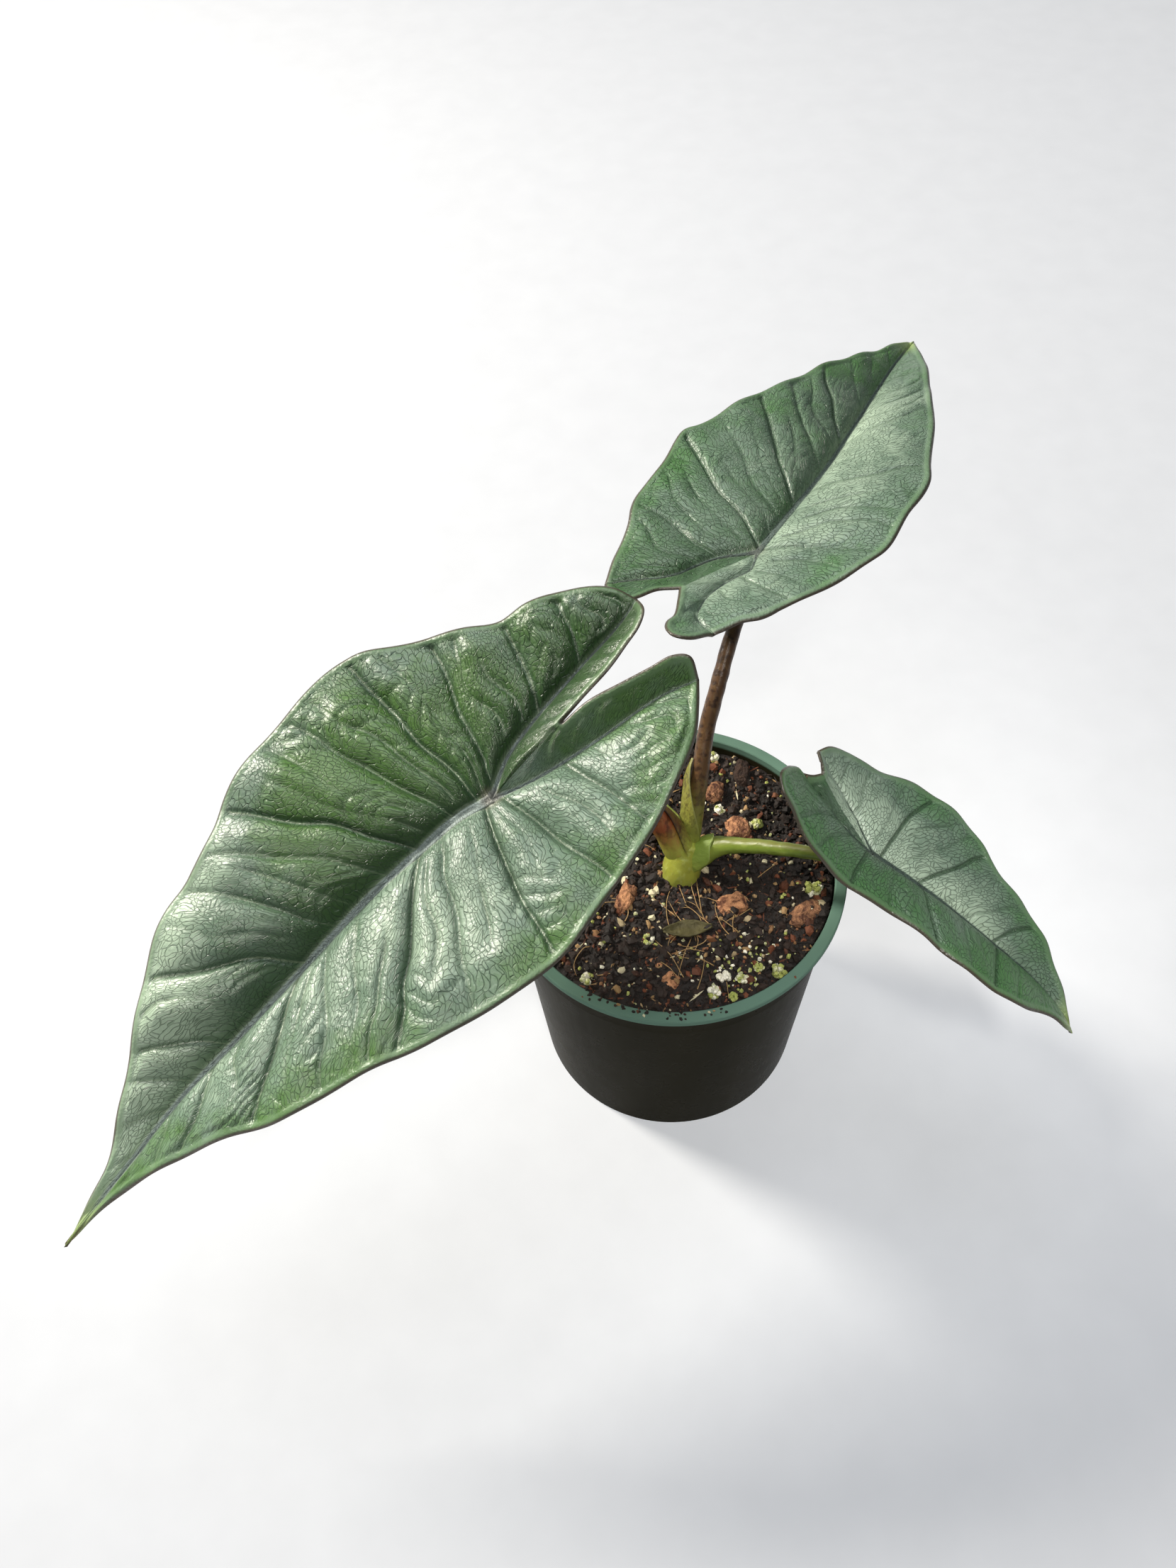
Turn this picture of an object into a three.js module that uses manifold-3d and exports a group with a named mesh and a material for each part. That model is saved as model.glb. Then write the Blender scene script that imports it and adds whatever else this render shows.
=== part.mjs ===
import * as THREE from 'three';
import { mergeVertices } from 'three/addons/utils/BufferGeometryUtils.js';
import Module from 'manifold-3d';

const wasm = await Module();
wasm.setup();

// A young alocasia in a four-inch nursery pot. Millimetres, +Z up.
// The origin is the centre of the pot's underside, on the surface that it stands on.

// Driving dimensions
const gap = 0.3;             // clearance between pieces that touch
const pot = {
  height: 92, rimRadius: 51, lipWidth: 3.4, lipThickness: 2.1,
  collarHeight: 11, collarStep: 1.4, wall: 1.1, floor: 1.6,
  baseRadius: 42, baseChamfer: 0.8,
  drainHoles: 6, drainRadius: 4, drainCircle: 27,
  sides: 48,
};
const soil = { level: 87.6, lump: 0.9, hollowDepth: 12, seed: 11 };
const crown = {
  path: [[2.7, -0.4, 75.9], [2.7, -0.4, 82], [2.7, -0.4, 88.5], [3.2, 1.0, 92], [4.4, 2.6, 95.5],
    [5.0, 3.6, 99.5]],
  radii: [5.0, 5.2, 5.3, 5.7, 5.5, 3.4],
  holeRadius: 5.9,
  sides: 14,
};
const blade = { thickness: 0.9, ribAcross: [0, 0.06, 0.2, 0.38, 0.58, 0.78, 0.92, 1], flapAcross: 3 };
const creaseReach = 8;       // how far from the midrib the blade's crease is drawn on to it
const tiny = 1e-6;           // keeps a division away from nought

// Leaves. u runs along the midrib from the petiole (0) to the tip, v across it, both in mm.
// A lobe rib runs back from the petiole to the end of its lobe. outer is the margin from the
// lobe's end to the leaf's tip, inner the margin from the sinus to the lobe's end, and a flap is
// the blade between a lobe rib and its inner margin. flapLag keeps the rows of a flap close to
// the sinus. A vein is [u on the rib, fraction along the outer margin, bow, depth].
const leaves = {
  leaf_left: {
    attach: [-47.8, -13.8, 150], yaw: -142, dip: 18, roll: -8,
    droop: 0.002, lobeLift: 0.003, fold: 28, foldReach: 36, sag: 6, sagReach: 60,
    flapRise: [9, 9], flapReach: 8, flapLag: 1, midribDepth: 1.5,
    quilt: 0.1, wave: 0.6, waves: 11, step: 6,
    midrib: [[0, 0], [10, -2.6], [20.5, -3.5], [41, -4.7], [80, -4.6], [111, -6], [135, -5.2],
      [165, -5.4]],
    halves: [
      {
        rib: [[0, 0], [-10, 4], [-29, 9], [-47, 13], [-58, 18]],
        outer: [[-58, 18], [-53, 23], [-47, 28], [-39, 32], [-29, 35.5], [-17, 39], [-4, 41],
          [11, 44], [25, 43.5], [40, 40], [52, 36.5], [65, 31], [77, 27], [93, 21.5], [106, 13.5],
          [121, 6.3], [137, 0.2], [151, -3.2], [165, -5.4]],
        inner: [[-26, 1], [-34, 2], [-43, 5], [-51, 8], [-57, 10.5], [-60, 14], [-58, 18]],
        veins: [[-19, 0.17, 2, 1], [-2, 0.24, 2, 1], [2, 0.34, -2, 1], [15, 0.44, 1, 1],
          [22, 0.53, 1, 1], [43, 0.58, 1, 1], [54, 0.62, 2, 1], [65, 0.71, 1, 1],
          [97, 0.81, 2, 0.8], [112, 0.85, 1, 0.7], [128, 0.91, 1, 0.5]],
      },
      {
        rib: [[0, 0], [-10, -5], [-21, -7], [-40, -8], [-56, -8], [-63, -9]],
        outer: [[-63, -9], [-61, -15], [-56, -21], [-49, -26], [-42, -29.5], [-34, -32],
          [-27, -37], [-19, -42], [-10, -48], [-2, -53], [7, -55.5], [21, -54], [37, -52.5],
          [49, -49], [57, -44.5], [69, -40.3], [79, -38.5], [93, -32], [108, -23], [122, -15.9],
          [138, -9.5], [151, -7.3], [165, -5.4]],
        inner: [[-26, 1], [-35, 1], [-44, 1], [-51, 0], [-57, -1], [-61, -3.5], [-63, -9]],
        veins: [[-40, 0.09, 2, 1], [-24, 0.15, 2, 1], [-2, 0.23, 2, 1], [3, 0.32, 1, 1],
          [10, 0.41, 1, 1], [22, 0.52, 2, 1], [32, 0.57, 3, 1], [50, 0.61, 2, 1],
          [62, 0.71, 5, 1], [91, 0.78, 2, 0.8], [105, 0.81, 2, 0.7], [115, 0.86, 2, 0.6],
          [130, 0.91, 1, 0.4]],
      },
    ],
  },
  leaf_back: {
    attach: [27.2, 53.9, 164], yaw: 60, dip: 5, roll: 0,
    droop: 0.0015, lobeLift: 0.003, fold: 20, foldReach: 28, sag: 4, sagReach: 45,
    flapRise: [-3, 4], flapReach: 7, flapLag: 2, midribDepth: 1.2,
    quilt: 0.09, wave: 0.5, waves: 9, step: 5,
    midrib: [[0, 0], [20.5, -1.6], [44, -2.8], [75, -1.9], [116, 0.3], [146, 1.3]],
    halves: [
      {
        rib: [[0, 0], [-7, 9], [-12, 12.5], [-17.5, 15.5], [-21.5, 19.5], [-24.5, 24], [-31, 31.5]],
        outer: [[-31, 31.5], [-22.5, 33.5], [-9, 35.5], [-3, 37.5], [2.5, 38.5], [16, 37.5],
          [28, 38.5], [33, 38], [37, 35.5], [44, 33], [60, 27.5], [74, 21.5], [95, 15.5],
          [105, 12], [118.5, 7.8], [135.5, 4.2], [146, 1.3]],
        inner: [[-24.5, 12.5], [-27, 17], [-33, 19.5], [-38.5, 22.5], [-37, 26.5], [-31, 31.5]],
        veins: [[-7, 0.17, 1, 1], [1, 0.35, 1, 1], [13, 0.43, 1, 1], [22.5, 0.53, 1, 1],
          [40, 0.6, 1, 1], [58, 0.7, 1, 1], [78, 0.77, 1, 0.9], [94, 0.83, 1, 0.8],
          [114, 0.9, 1, 0.6]],
      },
      {
        rib: [[0, 0], [-8, -1], [-12, 1], [-17, 3], [-23, 4.5], [-28, 4.5], [-34, 3], [-38, -3.5]],
        outer: [[-38, -3.5], [-35, -6], [-31.5, -8.5], [-28, -12.5], [-21.5, -16], [-14.5, -19.5],
          [-7, -23], [0, -27], [7.5, -30.5], [14.5, -32.5], [28.5, -33], [42.5, -34],
          [51, -31.5], [68.5, -27], [78.5, -24], [87.5, -20.5], [104, -15], [118, -10],
          [132, -4], [146, 1.3]],
        inner: [[-24.5, 12.5], [-30, 10.5], [-38, 8], [-42.5, 8], [-47, 6.5], [-49.5, 4],
          [-49.5, 1.5], [-47, -1.5], [-38, -3.5]],
        veins: [[-12, 0.13, 1, 1], [1, 0.29, -1, 1], [20, 0.45, 1, 1], [30.5, 0.49, 2, 1],
          [44, 0.54, 1, 1], [57.5, 0.66, 1, 1], [77.5, 0.73, 2, 0.9], [102, 0.8, 0, 0.8],
          [115, 0.87, 0, 0.6]],
      },
    ],
  },
  leaf_right: {
    attach: [53.3, -15.7, 116], yaw: -30, dip: 30, roll: -8,
    droop: 0.002, lobeLift: 0.012, fold: 15, foldReach: 22, sag: 2, sagReach: 30,
    flapRise: [5, 5], flapReach: 6, flapLag: 1, midribDepth: 0.9,
    quilt: 0.09, wave: 0.4, waves: 8, step: 5,
    midrib: [[0, 0], [12, 1.3], [24, 2.4], [48, 3.4], [61, 3.9], [73, 2.5], [82, -0.4]],
    halves: [
      {
        rib: [[0, 0], [-4, 3], [-9, 6.5], [-18, 10.5], [-29, 14]],
        outer: [[-29, 14], [-26, 18.5], [-20, 22], [-10, 24.5], [-2, 27.5], [6, 29.5], [16, 29.5],
          [26, 27], [33, 23], [42, 19.5], [51, 17], [60, 13.8], [66, 10.5], [72.5, 7], [78, 2.7],
          [82, -0.4]],
        inner: [[-26, 6], [-28, 7.5], [-30, 10], [-29, 14]],
        veins: [[-18, 0.12, 0, 1], [-9, 0.18, 1, 1], [-1.5, 0.28, 0, 1], [2.5, 0.36, 0, 1],
          [8, 0.49, 1, 1], [16, 0.55, 1, 1], [26, 0.61, 1, 1], [33, 0.69, 1, 1],
          [45, 0.75, 1, 0.8], [56, 0.82, 1, 0.6], [67, 0.89, 1, 0.5]],
      },
      {
        rib: [[0, 0], [-7, 0.5], [-16, 1.5], [-26, 2], [-34, 2]],
        outer: [[-34, 2], [-38, -3.5], [-40, -9.5], [-37, -13.5], [-29, -14.5], [-20, -17],
          [-10, -17], [0, -16], [10, -14.5], [21, -14.5], [33, -15.7], [44, -15.4], [52, -14.3],
          [58, -12.3], [65, -8.2], [71, -5.6], [77, -3.8], [82, -0.4]],
        inner: [[-26, 6], [-28, 4], [-31, 2.5], [-34, 2]],
        veins: [[-14, 0.19, 1, 1], [-8, 0.26, 1, 1], [-1.5, 0.37, 1, 1], [9, 0.47, 2, 1],
          [18, 0.59, 1, 1], [31, 0.67, 1, 1], [46, 0.73, 1, 0.9], [54, 0.79, 0, 0.8],
          [62, 0.88, 0, 0.6]],
      },
    ],
  },
};

// Petioles: the path is the centre line, from inside the crown to just under the blade.
const petioles = {
  petiole_left: {
    leaf: 'leaf_left', sides: 10, steps: 18, standOff: 9,
    path: [[4, 2.2, 92], [1.6, 3.2, 97], [-0.8, 4.6, 103], [-5, 5, 111], [-14, 1, 123],
      [-29, -6, 135]],
    radii: [2.9, 2.9, 2.8, 2.6, 2.3, 2.1, 1.9, 1.8],
    sheath: { from: 0.08, to: 0.26, facing: 60, span: 190, reach: 0.7, thickness: 0.7 },
  },
  petiole_back: {
    leaf: 'leaf_back', sides: 10, steps: 20, standOff: 7,
    path: [[5, 4.4, 92], [6.2, 6.6, 99], [7.5, 10.3, 109], [9.3, 16, 118], [11.2, 22.7, 125.5],
      [15.1, 31, 136], [20.4, 42.8, 146]],
    radii: [2.5, 2.5, 2.4, 2.3, 2.2, 2.1, 1.9, 1.8],
    sheath: { from: 0.06, to: 0.28, facing: 200, span: 200, reach: 1.0, thickness: 0.7 },
  },
  petiole_right: {
    leaf: 'leaf_right', sides: 10, steps: 16, standOff: 5,
    path: [[5, 0.6, 90.5], [8.6, 1, 95], [12.5, 1, 98.6], [22, -2.6, 103.6], [38.5, -10.3, 109.8]],
    radii: [2.5, 2.6, 2.4, 2.0, 1.8, 1.7, 1.6],
    sheath: { from: 0.12, to: 0.34, facing: 90, span: 180, reach: 0.5, thickness: 0.7 },
  },
};
const shoot = {
  path: [[3, 5.4, 97], [1.4, 7.4, 102.5], [-1.6, 9.6, 107.5], [-4.6, 11.4, 111]],
  radii: [1.7, 1.6, 1.2, 0.35], sides: 8, steps: 8,
};

// Bark chips and perlite grains: centre x, y, length, width, height and turn in degrees.
const bark = {
  bark_front: [16.4, -13.4, 9.5, 8, 6, 20],
  bark_left: [-14.2, -8.8, 12, 6, 5, 65],
  bark_near: [-6.2, -30.7, 7, 5, 4, 10],
  bark_rim: [-3.2, -36.6, 6.5, 5.5, 4.5, 140],
  bark_right: [37, -17.3, 13, 7, 5, 35],
  bark_back: [20.8, 13.3, 9, 8, 6, 100],
  bark_deep: [15.5, 27.5, 8, 6, 5, 70],
  bark_dark: [24.5, 34.2, 11, 5, 4, 80],
  leaf_scrap: [2.7, -21.2, 12, 6, 2.5, 5],
};
const perlite = {
  perlite_a: [11.3, -37.2, 4.6], perlite_b: [16.4, -37.6, 4.2], perlite_c: [8.2, -41.6, 4.4],
  perlite_d: [21.4, -34.2, 3.8], perlite_e: [26.8, -36.4, 5], perlite_f: [40.4, -9.6, 6],
  perlite_g: [26.9, 14.4, 4.2], perlite_h: [-8.6, -22.9, 4], perlite_i: [16.3, 21, 3.8],
  perlite_j: [-27, -35, 4.2], perlite_k: [16.5, 41.5, 4], perlite_l: [13.4, -43.4, 3.4],
};

// Colours of the real finishes
const colours = {
  pot: [0x24382f, 0.3], soil: [0x2a1c15, 0.95], crown: [0x9aa94f, 0.5],
  petiole_left: [0x8a5a3c, 0.5], petiole_back: [0x5a4632, 0.5], petiole_right: [0x7c9440, 0.45],
  shoot: [0x93ad55, 0.5], leaf: [0x5f8266, 0.4], bark: [0x8a5434, 0.9], perlite: [0xd8d9a8, 0.9],
};

const radians = THREE.MathUtils.degToRad;

// A repeatable random sequence in 0..1
function randomFrom(seed) {
  let state = seed >>> 0;
  return () => {
    state = (state + 0x6d2b79f5) >>> 0;
    let t = state;
    t = Math.imul(t ^ (t >>> 15), t | 1);
    t ^= t + Math.imul(t ^ (t >>> 7), t | 61);
    return ((t ^ (t >>> 14)) >>> 0) / 4294967296;
  };
}

// A solid from points and triangle corners
function geometryOf(points, corners) {
  const geometry = new THREE.BufferGeometry();
  geometry.setAttribute('position', new THREE.Float32BufferAttribute(points.flat(), 3));
  geometry.setIndex(corners.flat());
  return geometry;
}

function solidOf(geometry) {
  const bare = new THREE.BufferGeometry();
  bare.setAttribute('position', geometry.getAttribute('position').clone());
  bare.setIndex(geometry.index ? geometry.index.clone() : null);
  const merged = mergeVertices(bare, 1e-4);
  return new wasm.Manifold(new wasm.Mesh({
    numProp: 3,
    vertProperties: new Float32Array(merged.getAttribute('position').array),
    triVerts: new Uint32Array(merged.index.array),
  }));
}

function geometryFromSolid(solid) {
  const mesh = solid.getMesh();
  const geometry = new THREE.BufferGeometry();
  geometry.setAttribute('position', new THREE.BufferAttribute(mesh.vertProperties, 3));
  geometry.setIndex(new THREE.BufferAttribute(mesh.triVerts, 1));
  return geometry;
}

// The largest connected body of a cut solid
function mainBody(solid) {
  const bodies = solid.decompose();
  return bodies.reduce((best, body) => (body.volume() > best.volume() ? body : best));
}

// Closed rings of points joined one to the next, with a fan at each end
function solidOfRings(rings) {
  const count = rings[0].length;
  const points = rings.flat();
  const corners = [];
  for (let i = 0; i + 1 < rings.length; i++) {
    for (let j = 0; j < count; j++) {
      const a = i * count + j;
      const b = i * count + (j + 1) % count;
      corners.push([a, b, b + count], [a, b + count, a + count]);
    }
  }
  const last = (rings.length - 1) * count;
  for (let j = 1; j + 1 < count; j++) {
    corners.push([0, j + 1, j], [last, last + j, last + j + 1]);
  }
  return geometryOf(points, corners);
}

function valueAlong(values, t) {
  const place = t * (values.length - 1);
  const i = Math.min(Math.floor(place), values.length - 2);
  return THREE.MathUtils.lerp(values[i], values[i + 1], place - i);
}

// A stem of changing radius along a smooth centre line
function stem({ path, radii, sides, steps = path.length * 3 }, extra = 0) {
  const curve = new THREE.CatmullRomCurve3(path.map((p) => new THREE.Vector3(...p)), false, 'centripetal');
  const frames = curve.computeFrenetFrames(steps, false);
  const rings = [];
  for (let i = 0; i <= steps; i++) {
    const centre = curve.getPointAt(i / steps);
    const radius = valueAlong(radii, i / steps) + extra;
    rings.push(Array.from({ length: sides }, (_, j) => {
      const angle = 2 * Math.PI * j / sides;
      return centre.clone()
        .addScaledVector(frames.normals[i], radius * Math.cos(angle))
        .addScaledVector(frames.binormals[i], radius * Math.sin(angle))
        .toArray();
    }));
  }
  return solidOfRings(rings);
}

// The open sheath at a petiole's foot: a thin wall around part of the stem, narrowing to a point
function sheathAround({ path, radii, sheath }, extra = 0) {
  const curve = new THREE.CatmullRomCurve3(path.map((p) => new THREE.Vector3(...p)), false, 'centripetal');
  const rows = 6;
  const columns = 8;
  const rings = [];
  for (let i = 0; i <= rows; i++) {
    const rise = i / rows;
    const t = THREE.MathUtils.lerp(sheath.from, sheath.to, rise);
    const centre = curve.getPointAt(t);
    const along = curve.getTangentAt(t);
    const facing = new THREE.Vector3(Math.cos(radians(sheath.facing)), Math.sin(radians(sheath.facing)), 0);
    facing.addScaledVector(along, -facing.dot(along)).normalize();
    const side = new THREE.Vector3().crossVectors(along, facing);
    const half = radians(sheath.span / 2) * Math.max(0.12, Math.sqrt(1 - rise)) + extra / 4;
    const inside = valueAlong(radii, t) * 0.4;   // sunk well into the stem
    const outside = valueAlong(radii, t) + sheath.thickness + sheath.reach * (1 - rise) + extra;
    const at = (radius, angle) => centre.clone()
      .addScaledVector(facing, radius * Math.cos(angle))
      .addScaledVector(side, radius * Math.sin(angle))
      .toArray();
    const angles = Array.from({ length: columns + 1 }, (_, j) => half * (2 * j / columns - 1));
    rings.push([
      ...angles.map((angle) => at(outside, angle)),
      ...angles.slice().reverse().map((angle) => at(inside, angle)),
    ]);
  }
  return solidOfRings(rings);
}

// A leaf's own frame: along the midrib, across it, and out of its upper face
function frameOf({ yaw, dip, roll }) {
  const [y, d, r] = [yaw, dip, roll].map(radians);
  const along = new THREE.Vector3(Math.cos(y) * Math.cos(d), Math.sin(y) * Math.cos(d), -Math.sin(d));
  const level = new THREE.Vector3(-Math.sin(y), Math.cos(y), 0);
  const up = new THREE.Vector3().crossVectors(along, level);
  const across = level.multiplyScalar(Math.cos(r)).addScaledVector(up, Math.sin(r));
  return { along, across, out: new THREE.Vector3().crossVectors(along, across) };
}

const flatCurve = (points) => new THREE.CatmullRomCurve3(
  points.map(([u, v]) => new THREE.Vector3(u, v, 0)), false, 'centripetal');

// Distance from a point to a line of points
function distanceTo(line, u, v) {
  let best = Infinity;
  for (let i = 0; i + 1 < line.length; i++) {
    const [au, av] = line[i];
    const [bu, bv] = [line[i + 1][0] - au, line[i + 1][1] - av];
    const t = THREE.MathUtils.clamp(((u - au) * bu + (v - av) * bv) / (bu * bu + bv * bv), 0, 1);
    best = Math.min(best, Math.hypot(u - au - t * bu, v - av - t * bv));
  }
  return best;
}

// The v of a line of points at a given u
function lineAt(line, u) {
  const rising = line[line.length - 1][0] > line[0][0];
  const points = rising ? line : line.slice().reverse();
  for (let i = 0; i + 1 < points.length; i++) {
    if (u <= points[i + 1][0] || i + 2 === points.length) {
      const t = (u - points[i][0]) / (points[i + 1][0] - points[i][0]);
      return THREE.MathUtils.lerp(points[i][1], points[i + 1][1], t);
    }
  }
  return 0;
}

// Height of the folded upper face above the leaf's plane, without its veins
function foldHeight(leaf, u, v, onFlap) {
  const { fold, foldReach, sag, sagReach, flapRise, flapReach, droop, lobeLift } = leaf;
  const rise = (distance, reach) => 1 - Math.exp(-distance / reach);
  const ribs = leaf.halves.map((half) => distanceTo(half.rib, u, v));
  const midrib = lineAt(leaf.midrib, u);
  const pull = midrib * Math.exp(-(((v - midrib) / creaseReach) ** 2) / 2);
  const fromMidrib = u >= 0 ? Math.abs(v - pull) : Math.hypot(u, v);
  let height = fold * rise(fromMidrib, foldReach) * rise(ribs[0], foldReach) * rise(ribs[1], foldReach);
  if (onFlap) {
    // each flap has its own rise, blended by how near its rib is
    const between = Math.max(ribs[0] + ribs[1], tiny);
    height += (flapRise[0] * ribs[1] + flapRise[1] * ribs[0]) / between
      * rise(Math.min(...ribs), flapReach);
  }
  height -= sag * (v / sagReach) ** 2;
  height += u >= 0 ? -(1 - Math.cos(droop * u)) / droop : (1 - Math.cos(lobeLift * u)) / lobeLift;
  return height;
}

// Every place along the ribs where a row of points starts
function rowStarts(leaf) {
  const tip = leaf.midrib[leaf.midrib.length - 1][0];
  const marks = leaf.halves.flatMap((half) => half.veins.map(([u]) => u).filter((u) => u > 0));
  const fill = (list, step) => {
    const sorted = [...new Set(list)].sort((a, b) => a - b);
    const filled = [sorted[0]];
    for (const u of sorted.slice(1)) {
      const from = filled[filled.length - 1];
      const pieces = Math.max(1, Math.ceil((u - from) / step));
      for (let k = 1; k <= pieces; k++) filled.push(from + (u - from) * k / pieces);
    }
    return filled;
  };
  const front = fill([0, ...marks, tip], leaf.step);
  return leaf.halves.map((half) => {
    const end = half.rib[half.rib.length - 1][0];
    const back = fill([end, ...half.veins.map(([u]) => u).filter((u) => u < 0), 0], leaf.step);
    return [...back.slice(0, -1), ...front];
  });
}

// Where the row that starts at u meets the margin, how much it bows, and where between two
// veins it runs: 0 or 1 on a vein, 0.5 midway
function rowAt(leaf, half, u) {
  const tip = leaf.midrib[leaf.midrib.length - 1][0];
  const end = half.rib[half.rib.length - 1][0];
  const marks = [[end, 0, 0, 0], ...half.veins, [tip, 1, 0, 0]];
  let i = 0;
  while (i + 2 < marks.length && u > marks[i + 1][0]) i++;
  const [a, b] = [marks[i], marks[i + 1]];
  const f = (u - a[0]) / (b[0] - a[0]);
  const mix = (k) => THREE.MathUtils.lerp(a[k], b[k], f);
  return { margin: mix(1), bow: mix(2), depth: mix(3), between: f };
}

// The blade as one thin waved plate, the same triangles on both faces
function bladeOf(leaf) {
  const tip = leaf.midrib[leaf.midrib.length - 1][0];
  const { along, across, out } = frameOf(leaf);
  const attach = new THREE.Vector3(...leaf.attach);
  const upper = [];
  const lower = [];
  const corners = [];
  const known = new Map();

  const place = (u, v, relief, rib, onFlap) => {
    const key = `${u.toFixed(3)} ${v.toFixed(3)}`;
    if (known.has(key)) return known.get(key);
    const bend = u >= 0 ? leaf.droop : leaf.lobeLift;
    const top = attach.clone()
      .addScaledVector(along, Math.sin(bend * u) / bend)
      .addScaledVector(across, v)
      .addScaledVector(out, foldHeight(leaf, u, v, onFlap) + relief);
    upper.push(top.toArray());
    lower.push(top.clone().addScaledVector(out, -blade.thickness - rib).toArray());
    known.set(key, upper.length - 1);
    return upper.length - 1;
  };
  const joinRows = (a, b, flip) => {
    for (let j = 0; j + 1 < a.length; j++) {
      for (const face of [[a[j], b[j], b[j + 1]], [a[j], b[j + 1], a[j + 1]]]) {
        if (new Set(face).size === 3) corners.push(flip ? [face[0], face[2], face[1]] : face);
      }
    }
  };

  const starts = rowStarts(leaf);
  leaf.halves.forEach((half, side) => {
    const end = half.rib[half.rib.length - 1][0];
    const outer = flatCurve(half.outer);
    const inner = flatCurve(half.inner);
    const ribPoint = (u) => [u, lineAt(u < 0 ? half.rib : leaf.midrib, u)];
    const ribDepth = (u) => leaf.midribDepth * (u < 0 ? 0.7 * (1 - u / end) : 1 - u / tip);
    let previousRow = null;
    let previousFlap = null;
    const marginLength = outer.getLength();
    for (const u of starts[side]) {
      const row = rowAt(leaf, half, u);
      const [ru, rv] = ribPoint(u);
      const rim = outer.getPointAt(THREE.MathUtils.clamp(row.margin, 0, 1));
      const chord = Math.hypot(rim.x - ru, rim.y - rv) || 1;
      const outward = Math.sign(side === 0 ? 1 : -1);
      const bulge = leaf.quilt * Math.min(14, marginLength / half.veins.length)
        * (1 - Math.abs(2 * row.between - 1) ** 2.2);
      const wave = leaf.wave * Math.sin(2 * Math.PI * leaf.waves * row.margin);
      const points = blade.ribAcross.map((t) => {
        const bow = 2 * row.bow * t * (1 - t);
        const pu = ru + (rim.x - ru) * t - bow * Math.abs(rim.y - rv) / chord;
        const pv = rv + (rim.y - rv) * t + outward * bow * (rim.x - ru) / chord;
        const spread = Math.min(1, t / 0.3) * (1 - 0.9 * Math.max(0, (t - 0.75) / 0.25));
        const width = Math.min(1, chord / 20);
        const relief = (bulge * spread + wave * t ** 3) * width;
        return place(pu, pv, relief, t === 0 ? ribDepth(u) : 0, false);
      });
      if (previousRow) joinRows(previousRow, points, side === 1);
      previousRow = points;

      if (u <= 0) {
        const edge = inner.getPointAt(THREE.MathUtils.clamp(u / end, 0, 1) ** leaf.flapLag);
        const flap = Array.from({ length: blade.flapAcross + 1 }, (_, j) => {
          const t = j / blade.flapAcross;
          const [pu, pv] = [ru + (edge.x - ru) * t, rv + (edge.y - rv) * t];
          return j === 0 ? points[0] : place(pu, pv, 0, 0, true);
        });
        if (previousFlap) joinRows(previousFlap, flap, side === 0);
        previousFlap = flap;
      }
    }
  });

  const count = upper.length;
  const edges = new Map();
  for (const [a, b, c] of corners) {
    for (const [p, q] of [[a, b], [b, c], [c, a]]) edges.set(`${p} ${q}`, [p, q]);
  }
  const faces = corners.flatMap(([a, b, c]) => [[a, b, c], [a + count, c + count, b + count]]);
  for (const [p, q] of edges.values()) {
    if (!edges.has(`${q} ${p}`)) faces.push([q, p, q + count], [p, p + count, q + count]);
  }
  return geometryOf([...upper, ...lower], faces);
}

// The pot: one moulded wall with a stepped collar and a flat lip, drain holes in its floor
function potProfile() {
  const { height, rimRadius, lipWidth, lipThickness, collarHeight, collarStep, wall, floor } = pot;
  const lipInside = rimRadius - lipWidth;
  const collarFoot = height - collarHeight;
  const shoulder = lipInside + wall + 0.15;
  return {
    outside: [
      [0, 0], [pot.baseRadius - pot.baseChamfer, 0], [pot.baseRadius, pot.baseChamfer],
      [shoulder - collarStep, collarFoot - collarStep], [shoulder, collarFoot],
      [shoulder + 0.3, height - lipThickness - 0.5], [rimRadius, height - lipThickness],
      [rimRadius, height - 0.3], [rimRadius - 0.3, height],
    ],
    inside: [
      [lipInside + 0.3, height], [lipInside, height - 0.3], [lipInside - 0.1, collarFoot + 0.4],
      [lipInside - 0.1 - collarStep, collarFoot + 0.4 - collarStep],
      [pot.baseRadius - wall, floor],
      [0, floor],
    ],
  };
}

function makePot() {
  const { outside, inside } = potProfile();
  const profile = [...outside, ...inside].map(([r, z]) => new THREE.Vector2(r, z));
  const body = new THREE.LatheGeometry(profile, pot.sides).rotateX(Math.PI / 2);
  let solid = solidOf(body);
  for (let i = 0; i < pot.drainHoles; i++) {
    const angle = 2 * Math.PI * (i + 0.5) / pot.drainHoles;
    const hole = new THREE.CylinderGeometry(pot.drainRadius, pot.drainRadius, 4 * pot.floor, 14)
      .rotateX(Math.PI / 2)
      .translate(pot.drainCircle * Math.cos(angle), pot.drainCircle * Math.sin(angle), 0);
    solid = solid.subtract(solidOf(hole));
  }
  return solid;
}

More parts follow.
